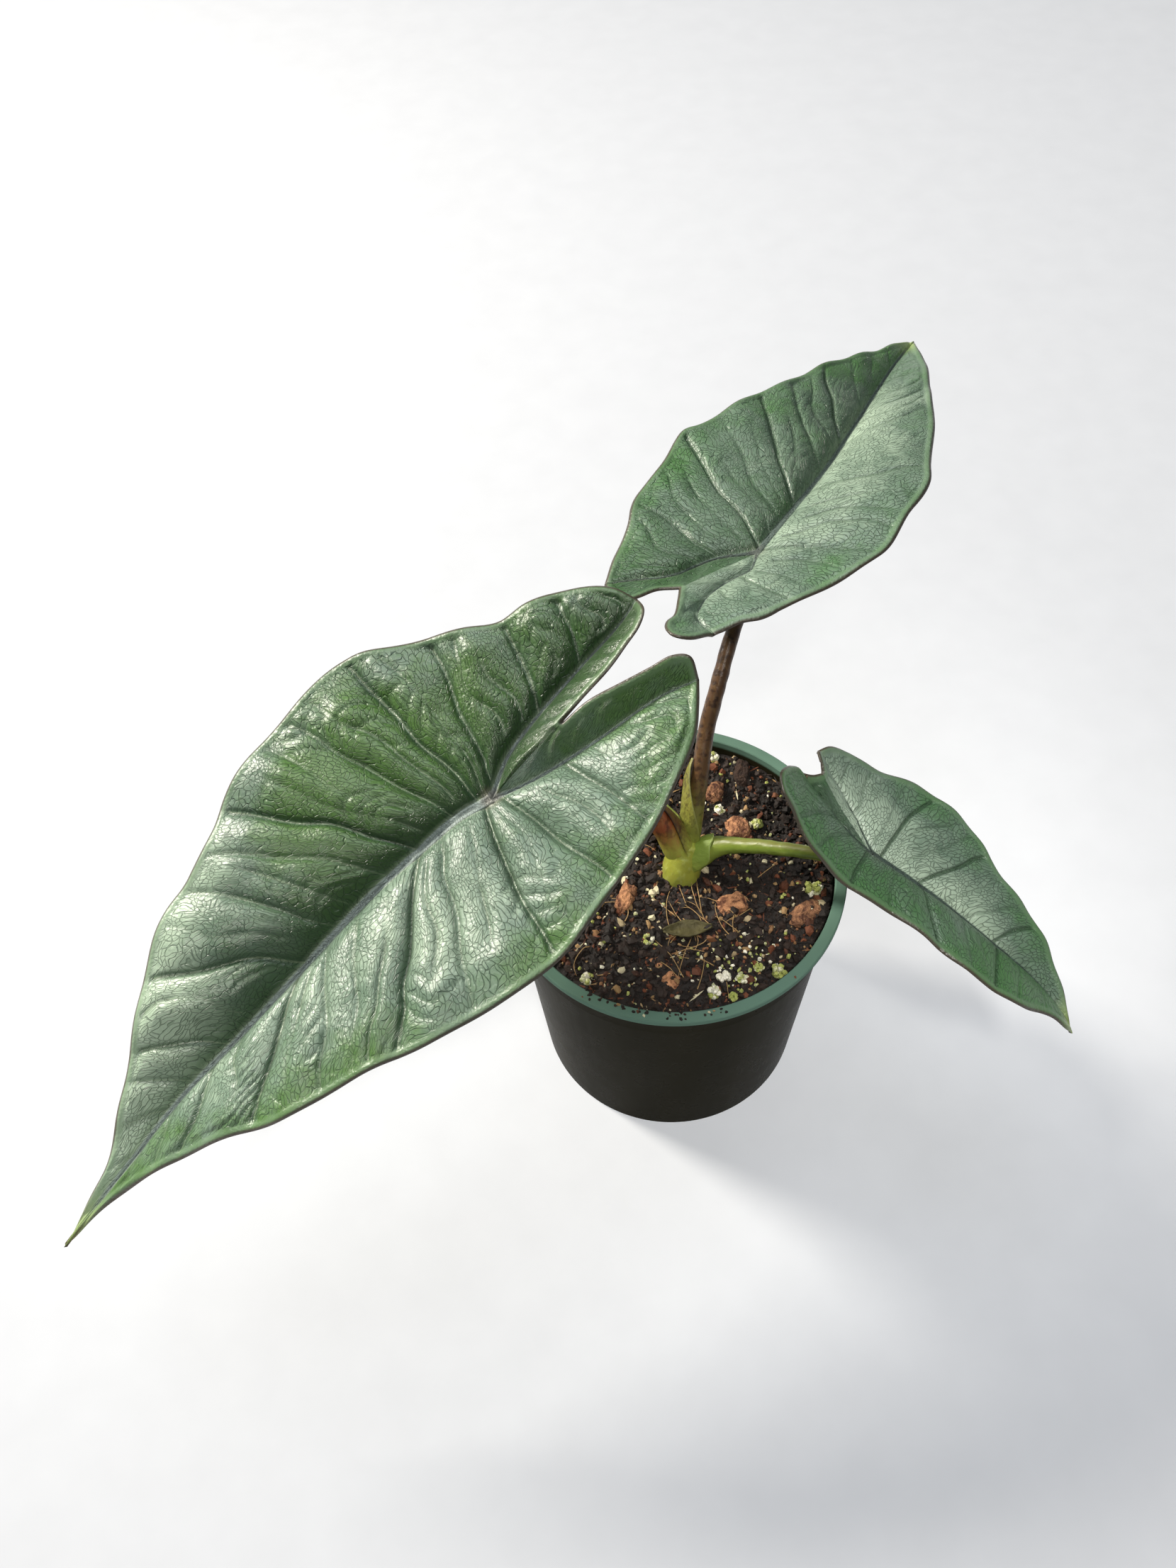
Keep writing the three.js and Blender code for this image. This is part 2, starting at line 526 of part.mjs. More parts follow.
// The potting mix: it fills the pot and has a lumpy top with a plain hole for the crown
function makeSoil() {
  const random = randomFrom(soil.seed);
  const wallLine = potProfile().inside.slice(2, 5).reverse();
  const clear = gap + 0.05;
  const ringAt = (radius, heights) => Array.from({ length: pot.sides }, (_, j) => {
    const angle = 2 * Math.PI * j / pot.sides;
    return [radius * Math.sin(angle), -radius * Math.cos(angle), heights(j)];
  });
  const lump = (reach) => soil.level + soil.lump * (2 * random() - 1) * reach;
  const rings = wallLine.map(([r, z]) => ringAt(r - clear, () => z + clear));
  const topRadius = wallLine[wallLine.length - 1][0] - clear;
  const [holeX, holeY] = crown.path[0];
  for (let i = 0; i <= 8; i++) {
    const t = i / 8;
    const radius = THREE.MathUtils.lerp(topRadius, crown.holeRadius, t);
    const heights = Array.from({ length: pot.sides }, () => lump(t === 1 ? 0.3 : 1));
    rings.push(ringAt(radius, (j) => heights[j]).map(([x, y, z]) => [x + holeX * t, y + holeY * t, z]));
  }
  const holeFoot = soil.level - soil.hollowDepth;
  rings.push(ringAt(crown.holeRadius, () => holeFoot).map(([x, y, z]) => [x + holeX, y + holeY, z]));
  return solidOf(solidOfRings(rings));
}

// A rough lump: an icosahedron pushed about, stretched and turned
function lumpSolid([x, y, length, width, height, turn], z, seed, extra = 0) {
  const random = randomFrom(seed);
  const lump = mergeVertices(new THREE.IcosahedronGeometry(1, 0).deleteAttribute('normal').deleteAttribute('uv'));
  const place = lump.getAttribute('position');
  for (let i = 0; i < place.count; i++) {
    const push = 0.8 + 0.35 * random();
    place.setXYZ(i,
      place.getX(i) * push * (length / 2 + extra),
      place.getY(i) * push * (width / 2 + extra),
      place.getZ(i) * push * (height / 2 + extra));
  }
  return solidOf(lump.rotateZ(radians(turn)).translate(x, y, z));
}

const group = new THREE.Group();

function addMesh(name, geometry, finish) {
  const [colour, roughness] = colours[finish];
  const material = new THREE.MeshStandardMaterial({ color: colour, roughness, metalness: 0 });
  const mesh = new THREE.Mesh(geometry, material);
  mesh.name = name;
  group.add(mesh);
}

addMesh('pot', geometryFromSolid(makePot()), 'pot');

let soilSolid = makeSoil();
const grains = [
  ...Object.entries(bark).map(([name, size]) => [name, size, 'bark']),
  ...Object.entries(perlite).map(([name, [x, y, size]]) => [name, [x, y, size, size * 0.85, size * 0.8, 40], 'perlite']),
];
grains.forEach(([name, size, finish], i) => {
  const z = soil.level + size[4] * 0.22;
  soilSolid = soilSolid.subtract(lumpSolid(size, z, 100 + i, gap + 0.15));
  addMesh(name, geometryFromSolid(lumpSolid(size, z, 100 + i)), finish);
});
addMesh('soil', geometryFromSolid(mainBody(soilSolid)), 'soil');

const crownSolid = solidOf(stem(crown));
addMesh('crown', geometryFromSolid(crownSolid), 'crown');

// Each petiole is cut clear of the crown and of the petioles before it
let taken = solidOf(stem(crown, gap));
for (const [name, petiole] of Object.entries(petioles)) {
  const leaf = leaves[petiole.leaf];
  const { out } = frameOf(leaf);
  const top = new THREE.Vector3(...leaf.attach)
    .addScaledVector(out, -(blade.thickness + leaf.midribDepth + gap + 0.1));
  const below = top.clone().addScaledVector(out, -petiole.standOff);
  const full = { ...petiole, path: [...petiole.path, below.toArray(), top.toArray()] };
  const solid = solidOf(stem(full)).add(solidOf(sheathAround(full)));
  addMesh(name, geometryFromSolid(mainBody(solid.subtract(taken))), name);
  taken = taken.add(solidOf(stem(full, gap))).add(solidOf(sheathAround(full, gap)));
}
addMesh('young_sheath', geometryFromSolid(mainBody(solidOf(stem(shoot)).subtract(taken))), 'shoot');

for (const [name, leaf] of Object.entries(leaves)) addMesh(name, bladeOf(leaf), 'leaf');

export default group;
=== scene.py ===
import math

import bmesh
import bpy
import numpy as np
from mathutils import Matrix, Vector, noise


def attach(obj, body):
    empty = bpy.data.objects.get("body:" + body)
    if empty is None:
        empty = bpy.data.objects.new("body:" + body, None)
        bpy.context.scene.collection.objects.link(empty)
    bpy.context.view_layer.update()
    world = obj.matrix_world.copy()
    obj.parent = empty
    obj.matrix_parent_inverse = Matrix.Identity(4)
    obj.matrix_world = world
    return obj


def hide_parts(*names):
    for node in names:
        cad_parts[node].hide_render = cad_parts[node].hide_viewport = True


# A young potted alocasia. The scene is in metres; the dictionaries below give millimetres.
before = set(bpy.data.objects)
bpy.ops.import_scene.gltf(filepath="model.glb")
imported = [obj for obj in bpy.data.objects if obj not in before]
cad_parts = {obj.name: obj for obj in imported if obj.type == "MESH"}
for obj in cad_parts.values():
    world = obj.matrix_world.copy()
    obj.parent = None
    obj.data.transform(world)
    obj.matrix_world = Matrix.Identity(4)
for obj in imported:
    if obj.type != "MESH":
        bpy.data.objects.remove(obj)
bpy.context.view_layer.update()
mm = 0.001
tiny = 1e-9


# Small helpers
def linearColour(hexColour):
    channels = [int(hexColour[i:i + 2], 16) / 255 for i in (1, 3, 5)]
    return [c / 12.92 if c <= 0.04045 else ((c + 0.055) / 1.055) ** 2.4 for c in channels] + [1.0]


# Adds a node with its settings and links. A number picks an input by its place, a name the one in
# use. A Mix is of colours and a Math node multiplies, unless the settings say otherwise.
def addNode(tree, kind, inputs=None, out=None, **settings):
    usual = {"Mix": {"data_type": "RGBA"}, "Math": {"operation": "MULTIPLY"}}.get(kind, {})
    node = tree.nodes.new("ShaderNode" + kind)
    for key, value in {**usual, **settings}.items():
        setattr(node, key, value)
    for key, value in (inputs or {}).items():
        if isinstance(key, int):
            socket = node.inputs[key]
        else:
            socket = next(s for s in node.inputs if s.enabled and s.name == key)
        if isinstance(value, bpy.types.NodeSocket):
            tree.links.new(value, socket)
        else:
            socket.default_value = linearColour(value) if isinstance(value, str) else value
    if out is not None:
        return node.outputs[out]
    return next((s for s in node.outputs if s.enabled), None)


# A new material with its nodes, and what they read at a point: its place and the mesh's attributes.
# A texture's Scale is how many of its cells fit in a metre, so 1000 is a grain of a millimetre.
def newMaterial(name, *attributes):
    material = bpy.data.materials.new(name)
    material.use_nodes = True
    tree = material.node_tree
    tree.nodes.clear()
    at = {one: addNode(tree, "Attribute", out="Fac", attribute_name=one) for one in attributes}
    at["place"] = addNode(tree, "TexCoord", out="Object")
    return material, tree, at


# Ends a material: the output, the shader and its bump, depth millimetres high where the height is 1
def closeMaterial(material, tree, inputs, height=None, depth=1.0):
    if height is not None:
        inputs["Normal"] = addNode(tree, "Bump", {"Strength": 1.0, "Distance": depth * mm, "Height": height})
    shader = addNode(tree, "BsdfPrincipled", inputs)
    addNode(tree, "OutputMaterial", {"Surface": shader})
    return material


def addObject(name, data):
    added = bpy.data.objects.new(name, data)
    bpy.context.scene.collection.objects.link(added)
    return added


def meshFrom(name, bm):
    mesh = bpy.data.meshes.new(name)
    bm.to_mesh(mesh)
    bm.free()
    return mesh


def newPiece(name, bm, nodes, materials, smooth=True):
    piece = addObject(name, meshFrom(name, bm))
    for material in materials:
        piece.data.materials.append(material)
    if smooth:
        piece.data.shade_smooth()
    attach(piece, "root")
    if nodes:
        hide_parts(*nodes)
    return piece


def addModifier(piece, name, kind, **settings):
    modifier = piece.modifiers.new(name, kind)
    for key, value in settings.items():
        setattr(modifier, key, value)


def smoothStep(low, high, value):
    t = np.clip((value - low) / (high - low), 0, 1)
    return t * t * (3 - 2 * t)


# 1 where the gap is at, falling softly to 0 about two widths away
def ridge(gap, at, width):
    return np.exp(-((gap - at) / width) ** 2)


# Camera, light and floor
view = {
    "place": (-23.15, -222.93, 444.13),
    "right": (0.99813, -0.04951, -0.03571), "up": (0.06105, 0.80955, 0.58387),
    "lens": 32.55, "sensor": 36,
}
right, up = Vector(view["right"]).normalized(), Vector(view["up"]).normalized()
turned = Matrix((right, up, right.cross(up))).transposed().to_4x4()
camera = addObject("camera", bpy.data.cameras.new("camera"))
camera.matrix_world = Matrix.Translation(Vector(view["place"]) * mm) @ turned
camera.data.lens = view["lens"]
camera.data.sensor_width = view["sensor"]
camera.data.clip_start = 0.01
bpy.context.scene.camera = camera

studio = {
    "world": "#F6F8FF", "worldStrength": 0.1, "floorSize": 6.0, "floorGlow": 0.95,
    "lamps": [   # in metres and watts
        {"name": "key", "kind": "AREA", "place": (-0.84, 0.48, 0.84), "aim": (0, 0, 0.12), "size": 0.26,
         "power": 24.5, "colour": "#FFF8EC"},
        {"name": "fill", "kind": "AREA", "place": (0.07, 0.34, 1.42), "aim": (0, 0, 0.12), "size": 0.8,
         "power": 7, "colour": "#F8FAFF"},
        # a narrow lamp on the small leaf and the potting mix, where the large leaf shades the key
        {"name": "snoot", "kind": "SPOT", "place": (0.08, -0.5, 1.0), "aim": (0.07, -0.03, 0.09),
         "size": 0.16, "power": 34, "colour": "#FFFBF4", "cone": 16},
        # another on the far end of the large leaf, whose upper half turns away from the key
        {"name": "tipSnoot", "kind": "SPOT", "place": (-0.35, -0.62, 0.92), "aim": (-0.155, -0.09, 0.125),
         "size": 0.12, "power": 27, "colour": "#FFFBF4", "cone": 12.5},
    ],
}
world = bpy.data.worlds.new("studio")
bpy.context.scene.world = world
world.use_nodes = True
background = world.node_tree.nodes["Background"]
background.inputs["Color"].default_value = linearColour(studio["world"])
background.inputs["Strength"].default_value = studio["worldStrength"]
bpy.context.scene.view_settings.view_transform = "Standard"
for part in studio["lamps"]:
    lamp = bpy.data.lights.new(part["name"], part["kind"])
    lamp.energy = part["power"]
    lamp.color = linearColour(part["colour"])[:3]
    if part["kind"] == "AREA":
        lamp.shape = "DISK"
        lamp.size = part["size"]
    else:
        lamp.shadow_soft_size = part["size"] / 2
        lamp.spot_size = math.radians(part["cone"])
        lamp.spot_blend = 1
    light = addObject(part["name"], lamp)
    light.location = part["place"]
    light.rotation_mode = "QUATERNION"
    light.rotation_quaternion = (Vector(part["aim"]) - light.location).to_track_quat("-Z", "Y")


# Painted board: a dead matt white, with a faint brushed unevenness. It also glows a little, though it
# is no lamp: painted light that keeps the shadow on it pale.
def paintedBoard():
    material, tree, at = newMaterial("painted_board")
    grain = addNode(tree, "TexNoise", {"Vector": at["place"], "Scale": 60.0, "Detail": 3.0})
    colour = addNode(tree, "Mix", {"Factor": grain, "A": "#A2A4A7", "B": "#A8AAAD"})
    return closeMaterial(material, tree, {
        "Base Color": colour, "Roughness": 0.9, "Emission Color": colour,
        "Emission Strength": studio["floorGlow"],
    })


bm = bmesh.new()
bmesh.ops.create_grid(bm, x_segments=4, y_segments=4, size=studio["floorSize"] / 2)
floor = addObject("floor", meshFrom("floor", bm))
floor.data.materials.append(paintedBoard())
print("camera, light and floor made")

# Leaves
# u runs along the midrib from the petiole to the tip, v across it. A lobe rib runs back from the
# petiole to the end of its lobe. outer is the margin from the lobe's end to the leaf's tip, inner
# the margin from the sinus to the lobe's end. A vein is (u on the rib, fraction along the outer
# margin, bow, depth). Of each half, green says how green the silver is in all, partly as painted
# light and shade: paler on the half that meets the light, greener on the half turned from it.
# ribGreen says it beside the ribs, rimGreen along the margin and tipGreen towards the tip, and deep
# paints shade beside the ribs, on the half whose fold turns from the light.
leaves = {
    "leaf_left": {
        "attach": (-47.8, -13.8, 150), "yaw": -142, "dip": 18, "roll": -8,
        "droop": 0.002, "lobeLift": 0.003, "fold": 28, "foldReach": 36, "sag": 6, "sagReach": 60,
        "flapRise": (9, 9), "flapReach": 8, "flapLag": 1, "ribDepth": 1.5, "ribWidth": 1.25,
        "quilt": 2.5, "ripple": 1, "cup": 0.1, "pale": 1, "green": (-0.2, 0.8),
        "ribGreen": (0.1, 0.5), "rimGreen": (0.8, -0.5), "tipGreen": (-0.1, -2), "deep": (0, 1.0),
        "wave": 0.6, "waves": 11, "grain": 0.94, "seed": 4,
        "midrib": [(0, 0), (10, -2.6), (20.5, -3.5), (41, -4.7), (80, -4.6), (111, -6), (135, -5.2),
            (165, -5.4)],
        "halves": [{
            "rib": [(0, 0), (-10, 4), (-29, 9), (-47, 13), (-58, 18)],
            "outer": [(-58, 18), (-53, 23), (-47, 28), (-39, 32), (-29, 35.5), (-17, 39), (-4, 41),
                (11, 44), (25, 43.5), (40, 40), (52, 36.5), (65, 31), (77, 27), (93, 21.5), (106, 13.5),
                (121, 6.3), (137, 0.2), (151, -3.2), (165, -5.4)],
            "inner": [(-26, 1), (-34, 2), (-43, 5), (-51, 8), (-57, 10.5), (-60, 14), (-58, 18)],
            "veins": [(-19, 0.17, 2, 0.7), (-2, 0.24, 2, 0.9), (2, 0.34, -2, 1), (15, 0.44, 1, 0.4),
                (22, 0.53, 1, 1), (43, 0.58, 1, 0.4), (54, 0.62, 2, 0.45), (65, 0.71, 1, 1),
                (97, 0.81, 2, 0.8), (112, 0.85, 1, 0.5), (128, 0.91, 1, 0.5)],
        }, {
            "rib": [(0, 0), (-10, -5), (-21, -7), (-40, -8), (-56, -8), (-63, -9)],
            "outer": [(-63, -9), (-61, -15), (-56, -21), (-49, -26), (-42, -29.5), (-34, -32), (-27, -37),
                (-19, -42), (-10, -48), (-2, -53), (7, -55.5), (21, -54), (37, -52.5), (49, -49),
                (57, -44.5), (69, -40.3), (79, -38.5), (93, -32), (108, -23), (122, -15.9), (138, -9.5),
                (151, -7.3), (165, -5.4)],
            "inner": [(-26, 1), (-35, 1), (-44, 1), (-51, 0), (-57, -1), (-61, -3.5), (-63, -9)],
            "veins": [(-40, 0.09, 2, 0.6), (-24, 0.15, 2, 0.9), (-2, 0.23, 2, 0.8), (3, 0.32, 1, 1),
                (10, 0.41, 1, 0.6), (22, 0.52, 2, 1), (32, 0.57, 3, 0.5), (50, 0.61, 2, 0.5),
                (62, 0.71, 5, 1), (91, 0.78, 2, 0.8), (105, 0.81, 2, 0.6), (115, 0.86, 2, 0.6),
                (130, 0.91, 1, 0.4)],
        }],
    },
    "leaf_back": {
        "attach": (27.2, 53.9, 164), "yaw": 60, "dip": 5, "roll": 0,
        "droop": 0.0015, "lobeLift": 0.003, "fold": 20, "foldReach": 28, "sag": 4, "sagReach": 45,
        "flapRise": (-3, 4), "flapReach": 7, "flapLag": 2, "ribDepth": 1.2, "ribWidth": 0.78,
        "quilt": 0.9, "ripple": 0.5, "cup": 0.07, "pale": 0.3, "green": (-0.15, -0.6),
        "ribGreen": (0.3, 0), "rimGreen": (0.6, 0.6), "tipGreen": (0.2, 0.1), "deep": (0.6, 0),
        "wave": 0.5, "waves": 9, "grain": 0.75, "seed": 5,
        "midrib": [(0, 0), (20.5, -1.6), (44, -2.8), (75, -1.9), (116, 0.3), (146, 1.3)],
        "halves": [{
            "rib": [(0, 0), (-7, 9), (-12, 12.5), (-17.5, 15.5), (-21.5, 19.5), (-24.5, 24), (-31, 31.5)],
            "outer": [(-31, 31.5), (-22.5, 33.5), (-9, 35.5), (-3, 37.5), (2.5, 38.5), (16, 37.5),
                (28, 38.5), (33, 38), (37, 35.5), (44, 33), (60, 27.5), (74, 21.5), (95, 15.5), (105, 12),
                (118.5, 7.8), (135.5, 4.2), (146, 1.3)],
            "inner": [(-24.5, 12.5), (-27, 17), (-33, 19.5), (-38.5, 22.5), (-37, 26.5), (-31, 31.5)],
            "veins": [(-7, 0.17, 1, 0.7), (1, 0.35, 1, 0.9), (13, 0.43, 1, 0.3), (22.5, 0.53, 2, 1),
                (40, 0.6, 1, 0.35), (58, 0.7, 2, 0.9), (78, 0.77, 1, 0.4), (94, 0.83, 1, 0.3),
                (114, 0.9, 1, 0.2)],
        }, {
            "rib": [(0, 0), (-8, -1), (-12, 1), (-17, 3), (-23, 4.5), (-28, 4.5), (-34, 3), (-38, -3.5)],
            "outer": [(-38, -3.5), (-35, -6), (-31.5, -8.5), (-28, -12.5), (-21.5, -16), (-14.5, -19.5),
                (-7, -23), (0, -27), (7.5, -30.5), (14.5, -32.5), (28.5, -33), (42.5, -34), (51, -31.5),
                (68.5, -27), (78.5, -24), (87.5, -20.5), (104, -15), (118, -10), (132, -4), (146, 1.3)],
            "inner": [(-24.5, 12.5), (-30, 10.5), (-38, 8), (-42.5, 8), (-47, 6.5), (-49.5, 4),
                (-49.5, 1.5), (-47, -1.5), (-38, -3.5)],
            "veins": [(-12, 0.13, 1, 0.6), (1, 0.29, -1, 0.6), (20, 0.45, 1, 0.15), (30.5, 0.49, 2, 0.6),
                (44, 0.54, 1, 0.15), (57.5, 0.66, 1, 0.4), (77.5, 0.73, 2, 0.55), (102, 0.8, 0, 0.25),
                (115, 0.87, 0, 0.2)],
        }],
    },
    "leaf_right": {
        "attach": (53.3, -15.7, 116), "yaw": -30, "dip": 30, "roll": -8,
        "droop": 0.002, "lobeLift": 0.012, "fold": 15, "foldReach": 22, "sag": 2, "sagReach": 30,
        "flapRise": (5, 5), "flapReach": 6, "flapLag": 1, "ribDepth": 0.9, "ribWidth": 0.7,
        "quilt": 1.1, "ripple": 0.6, "cup": 0.07, "pale": 0.1, "green": (-0.2, 0.3),
        "ribGreen": (-1.1, -0.3), "rimGreen": (0.8, 0.7), "tipGreen": (0.4, 0.3), "deep": (0, 0.25),
        "wave": 0.4, "waves": 8, "grain": 0.6, "seed": 6,
        "midrib": [(0, 0), (12, 1.3), (24, 2.4), (48, 3.4), (61, 3.9), (73, 2.5), (82, -0.4)],
        "halves": [{
            "rib": [(0, 0), (-4, 3), (-9, 6.5), (-18, 10.5), (-29, 14)],
            "outer": [(-29, 14), (-26, 18.5), (-20, 22), (-10, 24.5), (-2, 27.5), (6, 29.5), (16, 29.5),
                (26, 27), (33, 23), (42, 19.5), (51, 17), (60, 13.8), (66, 10.5), (72.5, 7), (78, 2.7),
                (82, -0.4)],
            "inner": [(-26, 6), (-28, 7.5), (-30, 10), (-29, 14)],
            "veins": [(-18, 0.12, 0, 0.3), (-9, 0.18, 1, 0.4), (-1.5, 0.28, 0, 0.3), (2.5, 0.36, 2, 1),
                (8, 0.49, 1, 0.3), (16, 0.55, 2, 1), (26, 0.61, 1, 0.25), (33, 0.69, 1, 0.4),
                (45, 0.75, 2, 1), (56, 0.82, 1, 0.3), (67, 0.89, 1, 0.3)],
        }, {
            "rib": [(0, 0), (-7, 0.5), (-16, 1.5), (-26, 2), (-34, 2)],
            "outer": [(-34, 2), (-38, -3.5), (-40, -9.5), (-37, -13.5), (-29, -14.5), (-20, -17),
                (-10, -17), (0, -16), (10, -14.5), (21, -14.5), (33, -15.7), (44, -15.4), (52, -14.3),
                (58, -12.3), (65, -8.2), (71, -5.6), (77, -3.8), (82, -0.4)],
            "inner": [(-26, 6), (-28, 4), (-31, 2.5), (-34, 2)],
            "veins": [(-14, 0.19, 1, 0.7), (-8, 0.26, 1, 0.6), (-1.5, 0.37, 1, 1), (9, 0.47, 2, 0.4),
                (18, 0.59, 1, 1), (31, 0.67, 1, 0.4), (46, 0.73, 1, 1), (54, 0.79, 0, 0.3),
                (62, 0.88, 0, 0.3)],
        }],
    },
}
blade = {
    "thickness": 0.7, "creaseReach": 8, "lobeSoftness": 2.5, "wander": 2.2, "unevenness": 0.4,
    # closer rows of points beside the rib and beside the margin
    "nearRib": (0, 0.5, 1.0, 1.6, 2.4), "nearMargin": (2.4, 1.7, 1.0, 0.45, 0),
    "narrow": 12, "ripplePitch": 7.0, "rippleDepth": 1.1, "archPitch": 5.4, "archDepth": 0.5, "flapPitch": 8,
    # most ripples in a cell, and the shares of the way to the margin where they start and stop
    "rippleMost": 4, "rippleStarts": (0.0, 0.15), "rippleStops": (0.65, 1.2),
    "grooveDepth": 0.35, "grooveWidth": 0.7, "mesh": (1 / 9, 1 / 5, 1),
    # where the veins end, in from the margin, and the margin's own ridge, groove and turned edge
    "rimBand": (1.2, 3.2), "rimRidge": 1.1, "rimGroove": 2.4, "rimWidth": 0.6, "rimRelief": 0.15,
    "edgeDrop": 0.55,
    # beside each rib a narrow groove: its depth, place and width
    "ribGroove": (0.35, 0.2, 0.5),
    # kind of vein, half widths of its thread and valley, and how strongly each is coloured; the valley's
    # darker colour is partly the vein's own tone and partly painted shade
    "veinKinds": [("vein", (0.3, 1.5), (0.22, 0.8)), ("ripple", (0.3, 1.2), (0.15, 0.45)),
                  ("arch", (0.3, 0.9), (0.05, 0.25))],
}


# A smooth line through points in the leaf's plane, as an even run of many points, and its length
def smoothLine(points, count=300):
    p = np.array(points, float)
    p = np.vstack([2 * p[0] - p[1], p, 2 * p[-1] - p[-2]])
    run = []
    s = np.linspace(0, 1, 24, endpoint=False)[:, None]
    for a, b, c, d in zip(p[:-3], p[1:-2], p[2:-1], p[3:]):
        ab, bc, cd = (math.dist(*pair) ** 0.5 for pair in ((a, b), (b, c), (c, d)))
        leave = ((b - a) / ab - (c - a) / (ab + bc) + (c - b) / bc) * bc
        arrive = ((c - b) / bc - (d - b) / (bc + cd) + (d - c) / cd) * bc
        run.append((2 * s ** 3 - 3 * s ** 2 + 1) * b + (s ** 3 - 2 * s ** 2 + s) * leave
                   + (3 * s ** 2 - 2 * s ** 3) * c + (s ** 3 - s ** 2) * arrive)
    run = np.vstack([*run, p[-2]])
    length = np.r_[0, np.cumsum(np.linalg.norm(np.diff(run, axis=0), axis=1))]
    even = np.linspace(0, length[-1], count)
    return np.column_stack([np.interp(even, length, column) for column in run.T]), length[-1]


def alongLine(line, fraction):
    places = np.linspace(0, 1, len(line))
    return [np.interp(fraction, places, line[:, k]) for k in (0, 1)]


# Distance of many points from a line of points
def gapTo(line, u, v):
    gap = np.empty(u.size)
    start, step = line[:-1], np.diff(line, axis=0)
    square = (step ** 2).sum(1) + tiny
    flatU, flatV = u.ravel(), v.ravel()
    for i in range(0, u.size, 4000):
        du = flatU[i:i + 4000, None] - start[:, 0]
        dv = flatV[i:i + 4000, None] - start[:, 1]
        t = np.clip((du * step[:, 0] + dv * step[:, 1]) / square, 0, 1)
        gap[i:i + 4000] = np.sqrt(((du - t * step[:, 0]) ** 2 + (dv - t * step[:, 1]) ** 2).min(1))
    return gap.reshape(u.shape)


# The leaf's own frame: along the midrib, across it and out of the upper face
def leafAxes(leaf):
    y, d, r = (math.radians(leaf[k]) for k in ("yaw", "dip", "roll"))
    along = np.array([math.cos(y) * math.cos(d), math.sin(y) * math.cos(d), -math.sin(d)])
    level = np.array([-math.sin(y), math.cos(y), 0])
    across = math.cos(r) * level + math.sin(r) * np.cross(along, level)
    return along, across, np.cross(along, across)


# Height of the folded blade above the leaf's plane, without its veins
def foldHeight(leaf, u, v, ribWidth, onFlap):
    def rise(gap, reach):
        return 1 - np.exp(-gap / reach)
    gaps = [gapTo(line, u, v) for line in leaf["ribLines"]]
    softness = [blade["lobeSoftness"] * smoothStep(0.7 * line[-1][0], line[-1][0], u)
                for line in leaf["ribLines"]]   # a lobe's fold softens at its end
    ribs = [np.hypot(gap, soft) for gap, soft in zip(gaps, softness)]
    middle = np.interp(u, *leaf["midribLine"][:, :2].T)
    pull = middle * np.exp(-((v - middle) / blade["creaseReach"]) ** 2 / 2)
    fromMidrib = np.where(u >= 0, np.maximum(np.abs(v - pull) - 0.8 * ribWidth, 0), np.hypot(u, v))
    height = leaf["fold"] * rise(fromMidrib, leaf["foldReach"])
    height = height * rise(ribs[0], leaf["foldReach"]) * rise(ribs[1], leaf["foldReach"])
    if onFlap:
        share = leaf["flapRise"][0] * ribs[1] + leaf["flapRise"][1] * ribs[0]
        share = share / np.maximum(ribs[0] + ribs[1], tiny)
        height = height + share * rise(np.minimum(*gaps), leaf["flapReach"])
    height = height - leaf["sag"] * (v / leaf["sagReach"]) ** 2
    bend = np.where(u >= 0, -leaf["droop"], leaf["lobeLift"])
    return height + (1 - np.cos(bend * u)) / bend


def onLeaf(leaf, u, v, height):
    along, across, out = leafAxes(leaf)
    bend = np.where(u >= 0, leaf["droop"], leaf["lobeLift"])
    return np.array(leaf["attach"]) + (np.sin(bend * u) / bend)[..., None] * along \
        + v[..., None] * across + height[..., None] * out


# The rows of a half: u of each row, and for it the vein before it, the share of the way to the
# next vein, the fraction along the margin, the bow and the depth
def rowsOf(leaf, side):
    half = leaf["halves"][side]
    tip, end = leaf["midrib"][-1][0], half["rib"][-1][0]
    marks = np.array([(end, 0, 0, 0), *half["veins"], (tip, 1, 0, 0)], float)
    ends = []   # where rows must fall, for each stretch
    for one in leaf["halves"]:
        ends += [vein[0] for vein in one["veins"] if vein[0] > 0]
    front = sorted({0, tip, *ends})
    behind = sorted({end, 0, *(vein[0] for vein in half["veins"] if vein[0] < 0)})

    def count(a, b):
        widest = b - a
        for one, length in zip(leaf["halves"], leaf["marginLengths"]):
            if b <= 0 and one is not half:
                continue
            knots = np.array([(one["rib"][-1][0], 0), *(w[:2] for w in one["veins"]), (tip, 1)])
            fractions = np.interp([a, b], knots[:, 0], knots[:, 1])
            widest = max(widest, (fractions[1] - fractions[0]) * length)
        return max(1, math.ceil(widest / leaf["grain"]))

    stations = [end]
    for a, b in [*zip(behind, behind[1:]), *zip(front, front[1:])]:
        stations += list(np.linspace(a, b, count(a, b) + 1)[1:])
    u = np.array(stations)
    cell = np.clip(np.searchsorted(marks[:, 0], u - 1e-6) - 1, 0, len(marks) - 2)
    share = (u - marks[cell, 0]) / (marks[cell + 1, 0] - marks[cell, 0])
    margin, bow, depth = (marks[cell, k] + share * (marks[cell + 1, k] - marks[cell, k])
                          for k in (1, 2, 3))
    return {"u": u, "cell": cell, "share": share, "margin": margin, "bow": bow, "depth": depth}


# Places across the rows, closer together beside the rib and beside the margin
def placesAcross(chord, grain):
    near = np.minimum(1, chord / blade["narrow"])[:, None] / np.maximum(chord, tiny)[:, None]
    near = np.where(chord[:, None] < 0.1, 1 / blade["narrow"], near)
    first = np.array(blade["nearRib"]) * near
    last = 1 - np.array(blade["nearMargin"]) * near
    middle = math.ceil(np.percentile(chord, 85) / grain)
    s = np.linspace(0, 1, middle + 1)[1:-1]
    between = first[:, -1:] + s * (last[:, :1] - first[:, -1:])
    return np.hstack([first, between, last])


